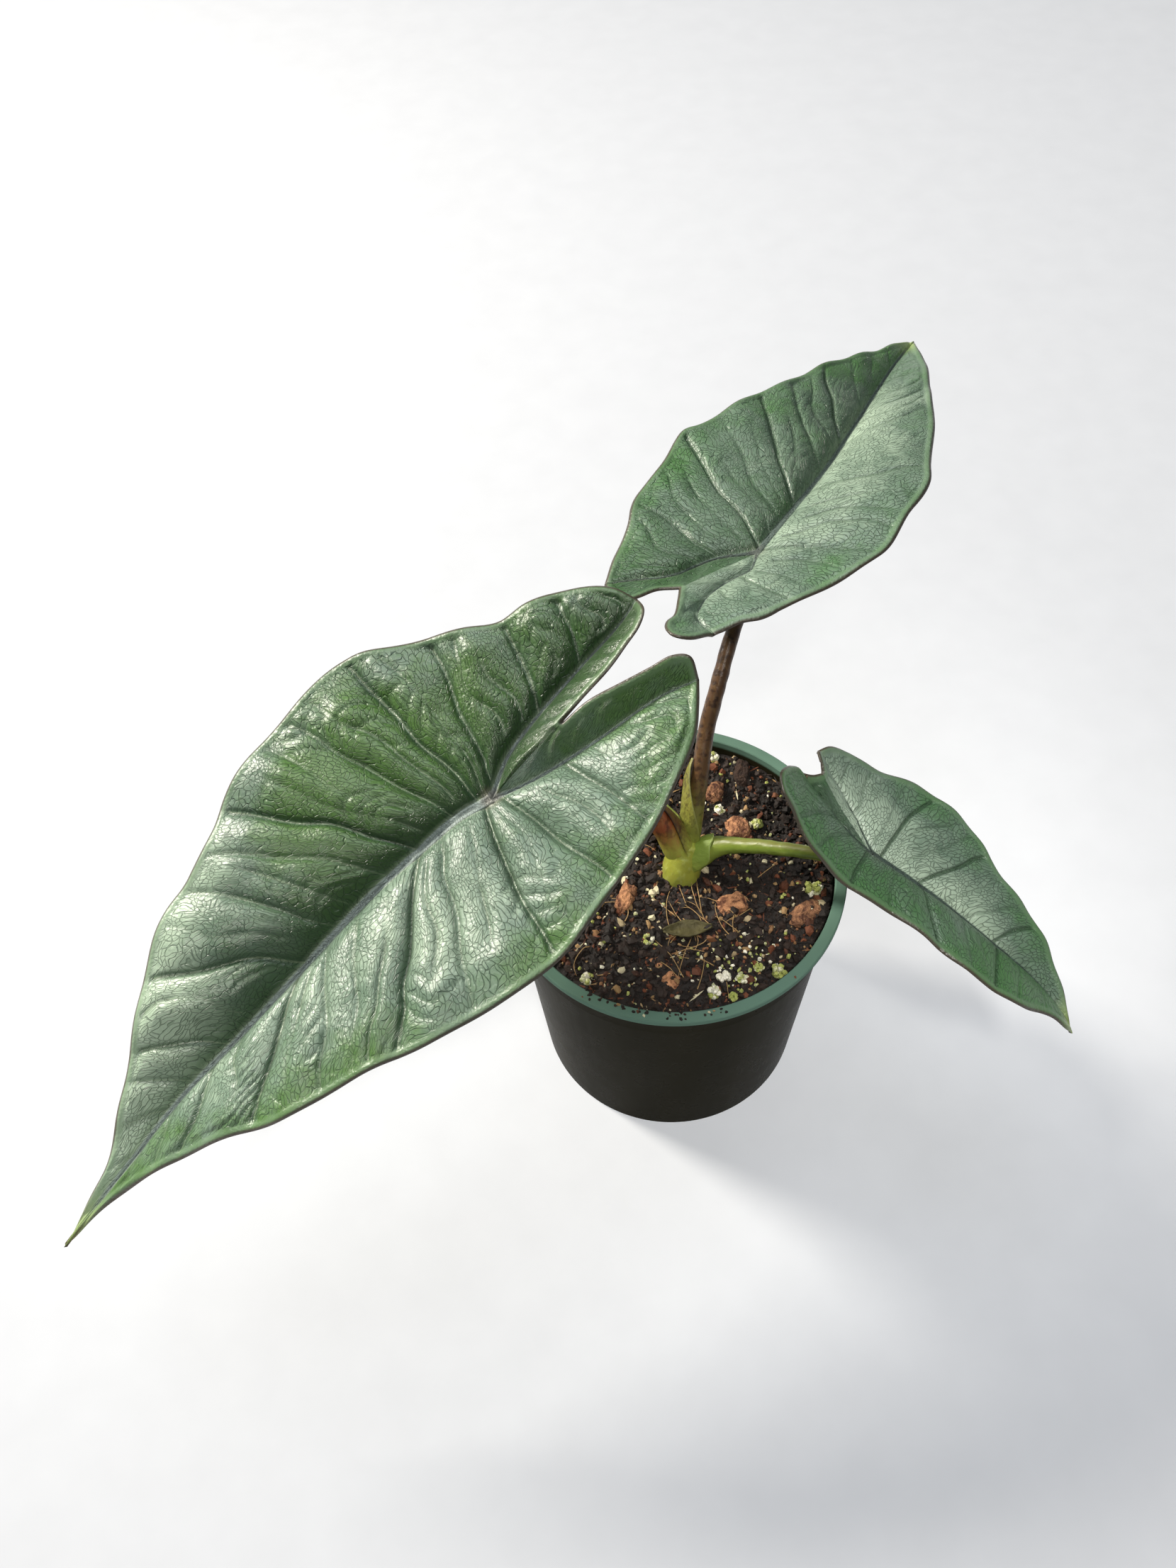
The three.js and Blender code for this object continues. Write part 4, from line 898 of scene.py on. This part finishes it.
rng = np.random.default_rng(21)
crumbShapes = lumpShapes(12, 1, 0.35, rng)
placed = []
for i in range(soil["crumbs"] + soil["fibres"] + soil["spilled"]):
    r, angle = soil["reach"] * math.sqrt(rng.uniform()), rng.uniform(0, math.tau)
    isFibre = i >= soil["crumbs"]
    isSpilled = i >= soil["crumbs"] + soil["fibres"]
    least, more, most = soil["crumbSize"]
    size = min(least + rng.exponential(more), most)
    stretch = np.array([size * rng.uniform(1, 1.6), size, size * rng.uniform(0.6, 1)])
    if isFibre:
        stretch = np.array([rng.uniform(*soil["fibreLength"]), *soil["fibreForm"]])
    x, y = r * math.cos(angle), r * math.sin(angle)
    z = soilHeight(x, y) + 0.55 * stretch[2]
    if isSpilled:
        angle = math.radians(rng.normal(*soil["lipAngle"]))
        r = rng.uniform(*soil["lipRadius"])
        x, y, z = r * math.cos(angle), r * math.sin(angle), soil["lipHeight"]
        stretch = np.array(soil["spilledForm"]) * rng.uniform(0.5, 1.3)
    turned = randomTurn(rng, soil["fibreLean"] if isFibre else 1)
    placed.append((x, y, z, stretch, turned, rng.uniform()))
scatterLumps("soil_crumbs", crumbShapes, placed, [mixMaterial])


# Expanded perlite: white foam glass, part of it stained yellow-green by algae
def expandedPerlite():
    material, tree, at = newMaterial("expanded_perlite", "shade")
    pits = addNode(tree, "TexVoronoi", {"Vector": at["place"], "Scale": 1500.0})
    algae = addNode(tree, "TexNoise", {"Vector": at["place"], "Scale": 500.0, "Detail": 2.0})
    stain = addNode(tree, "Math", {0: algae, 1: at["shade"]}, operation="ADD")
    stain = addNode(tree, "MapRange", {"Value": stain, "From Min": 0.65, "From Max": 1.05})
    green = addNode(tree, "Mix", {"Factor": algae, "A": "#C3C678", "B": "#8E9A40"})
    colour = addNode(tree, "Mix", {"Factor": stain, "A": "#F4EFDC", "B": green})
    return closeMaterial(material, tree, {"Base Color": colour, "Roughness": 0.85}, pits, 0.5)


perliteMaterial = expandedPerlite()
perlite = {   # centre x and y, and width
    "perlite_a": (11.3, -37.2, 4.6), "perlite_b": (16.4, -37.6, 4.2), "perlite_c": (8.2, -41.6, 4.4),
    "perlite_d": (21.4, -34.2, 3.8), "perlite_e": (26.8, -36.4, 5), "perlite_f": (40.4, -9.6, 6),
    "perlite_g": (26.9, 14.4, 4.2), "perlite_h": (-8.6, -22.9, 4), "perlite_i": (16.3, 21, 3.8),
    "perlite_j": (-27, -35, 4.2), "perlite_k": (16.5, 41.5, 4), "perlite_l": (13.4, -43.4, 3.4),
}
# a large grain's small ones, how wide they are beside it and how high it stands; then the fine grains,
# of which one in so many lies in a patch at the front right, by the large ones
perliteGrains = {
    "perGrain": 16, "form": (1, 0.85, 0.8), "share": (0.14, 0.25), "rise": 0.28, "stain": 0.8,
    "fineSize": (0.22, 0.75), "inPatch": 3, "patch": ((17, 7), (-34, 5)), "patchMiddle": (20, -38),
}
grainShapes = lumpShapes(8, 2, 0.16, rng)
grainForm = np.array(perliteGrains["form"])
for name, (x, y, width) in perlite.items():
    stain, placed = rng.uniform(0, perliteGrains["stain"]), []
    for i in range(perliteGrains["perGrain"]):   # a crusty lump of smaller grains
        towards = Vector(rng.normal(0, 1, 3)).normalized()
        size = width * rng.uniform(*perliteGrains["share"])
        z = soilHeight(x, y) + perliteGrains["rise"] * width
        spot = Vector((x, y, z)) + Vector((towards.x, towards.y, 0.8 * towards.z)) * (0.5 * width - size)
        placed.append((*spot, grainForm * size, randomTurn(rng),
                       min(0.95, max(0, stain + rng.normal(0, 0.2)))))
    scatterLumps(name + "_grain", grainShapes, placed, [perliteMaterial], [name])
placed = []
for i in range(soil["fine"]):
    r, angle = soil["fineReach"] * math.sqrt(rng.uniform()), rng.uniform(0, math.tau)
    x, y = r * math.cos(angle), r * math.sin(angle)
    if i % perliteGrains["inPatch"] == 0:
        x, y = (rng.normal(*part) for part in perliteGrains["patch"])
        if math.hypot(x, y) > soil["fineReach"]:
            x, y = perliteGrains["patchMiddle"]
    size = rng.uniform(*perliteGrains["fineSize"])
    placed.append((x, y, soilHeight(x, y) + 0.5 * size + 0.6, grainForm * size, randomTurn(rng),
                   rng.uniform(0, 0.9)))
scatterLumps("perlite_fine", crumbShapes, placed, [perliteMaterial])


# Pine bark: reddish-brown corky plates, paler where they broke
def pineBark():
    material, tree, at = newMaterial("pine_bark", "shade")
    plates = addNode(tree, "TexNoise", {"Vector": at["place"], "Scale": 350.0, "Detail": 4.0,
                                        "Distortion": 1.5})
    fine = addNode(tree, "TexNoise", {"Vector": at["place"], "Scale": 1400.0, "Detail": 3.0})
    red = addNode(tree, "MapRange", {"Value": plates, "From Min": 0.35, "From Max": 0.7})
    light = addNode(tree, "Mix", {"Factor": red, "A": "#57301F", "B": "#D0966A"})
    colour = addNode(tree, "Mix", {"Factor": at["shade"], "A": "#241712", "B": light})
    height = addNode(tree, "Math", {0: plates, 1: fine}, operation="ADD")
    return closeMaterial(material, tree, {"Base Color": colour, "Roughness": 0.85}, height)


barkMaterial = pineBark()
bark = {   # centre x and y, length, width, height, turn in degrees and how red it is
    "bark_front": (16.4, -13.4, 9.5, 8, 6, 20, 1.0), "bark_left": (-14.2, -8.8, 12, 6, 5, 65, 0.9),
    "bark_near": (-6.2, -30.7, 7, 5, 4, 10, 1.0), "bark_rim": (-3.2, -36.6, 6.5, 5.5, 4.5, 140, 1.0),
    "bark_right": (37, -17.3, 13, 7, 5, 35, 0.6), "bark_back": (20.8, 13.3, 9, 8, 6, 100, 1.0),
    "bark_deep": (15.5, 27.5, 8, 6, 5, 70, 0.7), "bark_dark": (24.5, 34.2, 11, 5, 4, 80, 0.05),
}
barkLevel = 87.6   # where the chips lie on the mix
for name, (x, y, length, width, height, degrees, redness) in bark.items():
    bm = bmesh.new()
    shade = bm.verts.layers.float.new("shade")
    bmesh.ops.create_icosphere(bm, subdivisions=4, radius=1)
    seed = float(rng.uniform(0, 50))
    for vert in bm.verts:
        c = vert.co
        square = max(abs(c.x), abs(c.y), abs(c.z))   # towards a blocky chip
        c *= 0.72 / square * 0.45 + 0.55
        rough = 0.22 * noise.noise(c * 1.3 + Vector((seed, 0, 0)))
        c *= 1 + rough + 0.12 * noise.noise(c * 5 + Vector((0, seed, 0)))
        vert[shade] = redness
    place = Matrix.Translation(Vector((x, y, barkLevel + 0.22 * height)) * mm)
    place = place @ Matrix.Rotation(math.radians(degrees), 4, "Z")
    bmesh.ops.scale(bm, vec=Vector((length, width, height)) / 2 * mm, verts=bm.verts)
    bmesh.ops.transform(bm, matrix=place, verts=bm.verts)
    newPiece(name + "_chip", bm, [name], [barkMaterial])
print("potting mix, bark and perlite made")

# Crown, petioles and their sheaths
stems = {
    "crown": {
        "slot": "crown", "sides": 28, "rings": 40, "ends": 0.3,
        "path": [(2.7, -0.4, 75.9), (2.7, -0.4, 82), (2.7, -0.4, 88.5), (3.2, 1.0, 92), (4.4, 2.6, 95.5),
                 (5.0, 3.6, 99.5)],
        "radii": [5.0, 5.2, 5.5, 5.7, 5.2, 3.6],
        "foot": "#A8AC52", "body": "#979B3E", "top": "#92963A", "upper": "#9AA242", "pale": "#C2C87E",
        "change": (0.3, 0.6), "speck": 0.12,
    },
    "petiole_left": {
        "slot": "petiole_red", "sides": 24, "rings": 70, "ends": 1, "leaf": "leaf_left", "standOff": 9,
        "path": [(4, 2.2, 92), (1.6, 3.2, 97), (-0.8, 4.6, 103), (-5, 5, 111), (-14, 1, 123),
                 (-29, -6, 135)],
        "radii": [4.5, 4.4, 4.0, 3.5, 3.0, 2.7, 2.4, 2.3, 2.2, 2.1, 2.0, 1.9, 1.8, 1.8],
        "foot": "#A4AA4A", "body": "#934C2A", "top": "#5E3A2A", "upper": "#8A4C2C", "pale": "#B58552",
        "change": (0.06, 0.2), "speck": 0.6,
        "sheath": {"start": 0.0, "end": 0.3, "facing": (0.9, 0.5, 0.3), "span": 170, "flare": 0.6,
                   "point": 3, "colour": "#5E3B24", "edge": "#26170E", "speck": 0.6},
    },
    "petiole_back": {
        "slot": "petiole_brown", "sides": 24, "rings": 70, "ends": 1, "leaf": "leaf_back", "standOff": 7,
        "path": [(5, 4.4, 92), (6.2, 6.6, 99), (7.5, 10.3, 109), (9.3, 16, 118), (11.2, 22.7, 125.5),
                 (15.1, 31, 136), (20.4, 42.8, 146)],
        "radii": [2.9, 2.8, 2.6, 2.4, 2.3, 2.2, 2.1, 1.9, 1.8],
        "foot": "#858C3C", "body": "#5C4226", "top": "#4A3526", "upper": "#6A4C2E", "pale": "#86693F",
        "change": (0.05, 0.28), "speck": 0.8,
        "sheath": {"start": 0.02, "end": 0.34, "facing": (-0.95, -0.25, 0), "span": 230, "flare": 1.9,
                   "point": 1.4, "colour": "#7C7A34", "edge": "#8A8A52", "speck": 0.6},
    },
    "petiole_right": {
        "slot": "petiole_green", "sides": 24, "rings": 60, "ends": 1, "leaf": "leaf_right", "standOff": 5,
        "path": [(5, 0.6, 90.5), (8.6, 1, 95), (12.5, 1, 98.6), (22, -2.6, 103.6), (38.5, -10.3, 109.8)],
        "radii": [3.5, 3.6, 3.3, 2.5, 2.2, 2.1, 2.0, 1.9, 1.85, 1.8, 1.8, 1.75],
        "foot": "#8E9C42", "body": "#6C7E2B", "top": "#5F702A", "upper": "#6E7238", "pale": "#8F9A4A",
        "change": (0.05, 0.3), "speck": 0.06, "streak": (0.3, 1, 1),
        "sheath": {"start": 0.02, "end": 0.21, "facing": (-0.3, 0.25, 1), "span": 200, "flare": 0.9,
                   "point": 8, "colour": "#7E933C", "edge": "#93A35A", "speck": 0.05},
    },
    "young_sheath": {
        "slot": "young_sheath", "sides": 20, "rings": 24, "ends": 0.3,
        "path": [(3, 5.4, 97), (1.4, 7.4, 102.5), (-1.6, 9.6, 107.5), (-4.6, 11.4, 111)],
        "radii": [2.0, 2.3, 2.0, 1.4, 0.3],
        "foot": "#9AA850", "body": "#AFBC66", "top": "#A3B05C", "upper": "#AFBC66", "pale": "#C9D08E",
        "change": (0.1, 0.6), "speck": 0.03,
    },
}
sheaths = {"rows": 28, "columns": 25, "gap": 0.35, "thickness": 0.45}


def stemLine(name):
    stem = stems[name]
    path = list(stem["path"])
    if "leaf" in stem:
        leaf = leaves[stem["leaf"]]
        out = leafAxes(leaf)[2]
        top = np.array(leaf["attach"]) - out * (blade["thickness"] + 0.5)
        path += [tuple(top - out * stem["standOff"]), tuple(top)]
    return smoothLine(path, stem["rings"] + 1)


# Axes of each ring, carried along the line without twisting
def ringAxes(line):
    tangents = np.gradient(line, axis=0)
    tangents /= np.linalg.norm(tangents, axis=1)[:, None]
    side = np.cross(tangents[0], (0, 1, 0.3))
    axes = []
    for tangent in tangents:
        side = side - tangent * side.dot(tangent)
        side = side / np.linalg.norm(side)
        axes.append((side, np.cross(tangent, side), tangent))
    return axes


def radiusAt(stem, t):
    return np.interp(t, np.linspace(0, 1, len(stem["radii"])), stem["radii"])


# A circle extruded ring by ring along the line. "along" runs from 0 at the foot to 1.
def addStem(bm, line, radii, sides, along):
    axes = ringAxes(line)

    def ringPlace(i):
        a, b, c = (Vector(axis) for axis in axes[i])
        scale = max(float(radii[i]), 0.02) * mm
        return Matrix.Translation(Vector(line[i]) * mm) \
            @ Matrix((a, b, c)).transposed().to_4x4() @ Matrix.Scale(scale, 4)
    ring = bmesh.ops.create_circle(bm, segments=sides, radius=1, cap_ends=True,
                                   matrix=ringPlace(0))["verts"]
    edges = list(dict.fromkeys(edge for vert in ring for edge in vert.link_edges))
    for vert in ring:
        vert[along] = 0
    for i in range(1, len(line)):
        made = bmesh.ops.extrude_edge_only(bm, edges=edges)["geom"]
        ring = [item for item in made if isinstance(item, bmesh.types.BMVert)]
        edges = [item for item in made if isinstance(item, bmesh.types.BMEdge)
                 and all(vert in ring for vert in item.verts)]
        bmesh.ops.transform(bm, matrix=ringPlace(i) @ ringPlace(i - 1).inverted(), verts=ring)
        for vert in ring:
            vert[along] = i / (len(line) - 1)
    bmesh.ops.holes_fill(bm, edges=edges)


# Living petiole: a smooth waxy skin, greener at the foot, streaked and specked with brown. Its
# upper side, where the light falls, is painted a colour of its own: painted light on the top.
def petioleSkin(name, stem):
    material, tree, at = newMaterial(name + "_skin", "along", "upward")
    tall = addNode(tree, "Mapping", {"Vector": at["place"], "Scale": stem.get("streak", (1, 1, 0.3))})
    streaks = addNode(tree, "TexNoise", {"Vector": tall, "Scale": 700.0, "Detail": 4.0})
    blotches = addNode(tree, "TexNoise", {"Vector": at["place"], "Scale": 520.0, "Detail": 5.0})
    rise = addNode(tree, "Math", {0: streaks, 1: 0.1, 2: at["along"]}, operation="MULTIPLY_ADD")
    change, paintedLitTop, specks, pale = (
        addNode(tree, "MapRange", {"Value": value, "From Min": low, "From Max": high, "To Max": most})
        for value, low, high, most in (
            (rise, stem["change"][0] + 0.05, stem["change"][1] + 0.05, 1.0), (at["upward"], 0.7, 0.92, 1.0),
            (blotches, 0.5, 0.6, stem["speck"]), (streaks, 0.55, 0.7, 0.3)))
    paintedLitTop, specks = (addNode(tree, "Math", {0: mark, 1: change}) for mark in (paintedLitTop, specks))
    colour = addNode(tree, "Mix", {"Factor": at["along"], "A": stem["body"], "B": stem["top"]})
    colour = addNode(tree, "Mix", {"Factor": change, "A": stem["foot"], "B": colour})
    # the upper side's colour is painted light on the top
    for factor, over in ((paintedLitTop, stem["upper"]), (specks, "#2C1A10"), (pale, stem["pale"])):
        colour = addNode(tree, "Mix", {"Factor": factor, "A": colour, "B": over})
    return closeMaterial(material, tree, {
        "Base Color": colour, "Roughness": 0.4, "IOR": 1.45, "Subsurface Weight": 0.08,
        "Subsurface Scale": 0.002,
    }, streaks, 0.2)


# A sheath is petiole skin drawn out thin, with a free edge that is dry and papery
def sheathSkin(name, stem):
    material, tree, at = newMaterial(name + "_sheath_skin", "edge", "rise")
    sheath = stem["sheath"]
    tall = addNode(tree, "Mapping", {"Vector": at["place"], "Scale": stem.get("streak", (1, 1, 0.3))})
    streaks = addNode(tree, "TexNoise", {"Vector": tall, "Scale": 800.0, "Detail": 3.0})
    blotches = addNode(tree, "TexNoise", {"Vector": at["place"], "Scale": 600.0, "Detail": 4.0})
    dry = addNode(tree, "Math", {0: blotches, 1: 0.5, 2: at["edge"]}, operation="MULTIPLY_ADD")
    high = addNode(tree, "Math", {0: streaks, 1: 0.5, 2: at["rise"]}, operation="MULTIPLY_ADD")
    dry, high, specks = (
        addNode(tree, "MapRange", {"Value": value, "From Min": low, "From Max": full, "To Max": most})
        for value, low, full, most in (
            (dry, 0.95, 1.15, 1.0), (high, 0.36, 0.85, 1.0), (blotches, 0.5, 0.58, sheath["speck"])))
    dry = addNode(tree, "Math", {0: dry, 1: at["rise"]})
    specks = addNode(tree, "Math", {0: specks, 1: high})
    colour = stem["foot"]
    for factor, over in ((high, sheath["colour"]), (specks, "#3A2C19"), (dry, sheath["edge"])):
        colour = addNode(tree, "Mix", {"Factor": factor, "A": colour, "B": over})
    return closeMaterial(material, tree, {"Base Color": colour, "Roughness": 0.5}, streaks, 0.4)


# A thin shell that wraps the foot of a petiole, narrows upwards and ends in a point
def makeSheath(name, line):
    stem = stems[name]
    sheath = stem["sheath"]
    rowCount, columnCount = sheaths["rows"], sheaths["columns"]
    axes = ringAxes(line)
    bm = bmesh.new()
    edgeLayer, riseLayer = (bm.verts.layers.float.new(layer) for layer in ("edge", "rise"))
    bmesh.ops.create_grid(bm, x_segments=columnCount - 1, y_segments=rowCount - 1, size=1)
    facing = Vector(sheath["facing"]).normalized()
    for i, vert in enumerate(bm.verts):
        row, column = divmod(i, columnCount)
        rise, turn = row / (rowCount - 1), 2 * column / (columnCount - 1) - 1
        t = sheath["start"] + (sheath["end"] - sheath["start"]) * rise
        k = t * (len(line) - 1)
        low = min(int(k), len(line) - 2)
        centre = Vector(line[low]).lerp(Vector(line[low + 1]), k - low)
        tangent = Vector(axes[low][2])
        out = (facing - tangent * facing.dot(tangent)).normalized()
        side = tangent.cross(out)
        narrowing = max(0.06, 1 - rise ** sheath["point"])
        angle = math.radians(sheath["span"] / 2) * narrowing * turn
        stand = sheath["flare"] * math.sin(math.pi * rise) ** 0.7 * (0.35 + 0.65 * turn ** 2)
        uneven = 0.15 * noise.noise(Vector((6 * rise, 3 * turn, len(name))))
        radius = radiusAt(stem, t) + (sheaths["gap"] + stand) + uneven
        vert.co = (centre + (out * math.cos(angle) + side * math.sin(angle)) * radius) * mm
        vert[edgeLayer], vert[riseLayer] = max(abs(turn) ** 6, rise ** 8), rise
    bmesh.ops.recalc_face_normals(bm, faces=bm.faces)
    bm.faces.ensure_lookup_table()
    if bm.faces[len(bm.faces) // 2].normal.dot(facing) < 0:
        bmesh.ops.reverse_faces(bm, faces=bm.faces)
    piece = newPiece(name + "_sheath", bm, [], [sheathSkin(name, stem)])
    addModifier(piece, "thickness", "SOLIDIFY", thickness=sheaths["thickness"] * mm, offset=0)
    addModifier(piece, "soften", "SUBSURF", levels=1, render_levels=1)


for name, stem in stems.items():
    line = stemLine(name)[0]
    bm = bmesh.new()
    along = bm.verts.layers.float.new("along")
    radii = [radiusAt(stem, i / stem["rings"]) for i in range(stem["rings"] + 1)]
    radii[-1] *= stem["ends"]
    addStem(bm, line, radii, stem["sides"], along)
    bmesh.ops.recalc_face_normals(bm, faces=bm.faces)
    bm.normal_update()
    upward = bm.verts.layers.float.new("upward")
    for vert in bm.verts:   # slight swellings of grown tissue
        vert[upward] = vert.normal.z
        vert.co += vert.normal * 0.18 * mm * noise.noise(vert.co / mm * 0.35)
    newPiece(name + "_stem", bm, [name], [petioleSkin(name, stem)])
    if "sheath" in stem:
        makeSheath(name, line)
print("crown and petioles made")


# Dry root or leaf: tan and matt
def dryFibre(name, dark, light):
    material, tree, at = newMaterial(name)
    cells = addNode(tree, "TexNoise", {"Vector": at["place"], "Scale": 500.0, "Detail": 3.0})
    colour = addNode(tree, "Mix", {"Factor": cells, "A": dark, "B": light})
    return closeMaterial(material, tree, {"Base Color": colour, "Roughness": 0.7}, cells)


roots = {"count": 36, "radius": 0.14, "middle": (3, -22), "spread": (26, 9), "length": (6, 17),
         "curl": 0.035, "rise": (0.8, 0.9), "points": 7, "smoothPoints": 16, "sides": 5}
bm = bmesh.new()
along = bm.verts.layers.float.new("along")
for i in range(roots["count"]):
    spreadOut = roots["spread"][i % 2]
    x = roots["middle"][0] + rng.normal(0, spreadOut)
    y = roots["middle"][1] + rng.normal(0, spreadOut * 0.6)
    if math.hypot(x, y) > 40:
        x, y = x * 0.6, y * 0.6
    heading, length = rng.uniform(0, math.tau), rng.uniform(*roots["length"])
    curl = rng.normal(0, roots["curl"])
    points = []
    steps, (low, hump) = roots["points"] - 1, roots["rise"]
    for k in range(roots["points"]):
        points.append((x, y, soilHeight(x, y) + low + hump * math.sin(math.pi * k / steps)))
        if math.hypot(x, y) < 45:
            x, y = x + math.cos(heading) * length / steps, y + math.sin(heading) * length / steps
        heading += curl * length / 2
    points = [p for k, p in enumerate(points) if k == 0 or math.dist(p, points[k - 1]) > 0.2]
    if len(points) > 3:
        line = smoothLine(points, roots["smoothPoints"])[0]
        radii = np.linspace(1.2, 0.5, roots["smoothPoints"]) * roots["radius"]
        addStem(bm, line, radii, roots["sides"], along)
bmesh.ops.recalc_face_normals(bm, faces=bm.faces)
newPiece("dry_roots", bm, [], [dryFibre("dry_root", "#7A5E3A", "#C2A06A")])

scrap = {"place": (2.7, -21.2), "turn": 5, "length": 14, "width": 5.5, "curl": 1.6, "lift": 2,
         "thickness": 0.5}
bm = bmesh.new()
bmesh.ops.create_grid(bm, x_segments=24, y_segments=12, size=1)
for vert in bm.verts:
    x, y = vert.co.x, vert.co.y
    ragged = 1 - 0.25 * abs(noise.noise(Vector((x * 3, y * 2, 4))))
    outline = (1 - abs(x) ** 1.8) * 0.95 + 0.05
    curled = scrap["curl"] * (y * y * 0.5 - 0.3 * x)
    vert.co = (x * scrap["length"] / 2 * mm, y * outline * ragged * scrap["width"] / 2 * mm,
               (curled + 0.4 * noise.noise(Vector((x * 2, y * 2, 1)))) * mm)
place = Matrix.Translation(Vector((*scrap["place"], soilHeight(*scrap["place"]) + scrap["lift"])) * mm)
place = place @ Matrix.Rotation(math.radians(scrap["turn"]), 4, "Z")
bmesh.ops.transform(bm, matrix=place, verts=bm.verts)
piece = newPiece("leaf_scrap_sheet", bm, ["leaf_scrap"],
                 [dryFibre("dead_leaf", "#352E18", "#5E5830")])
addModifier(piece, "thickness", "SOLIDIFY", thickness=scrap["thickness"] * mm)
print("roots and leaf scrap made")

bpy.context.view_layer.update()
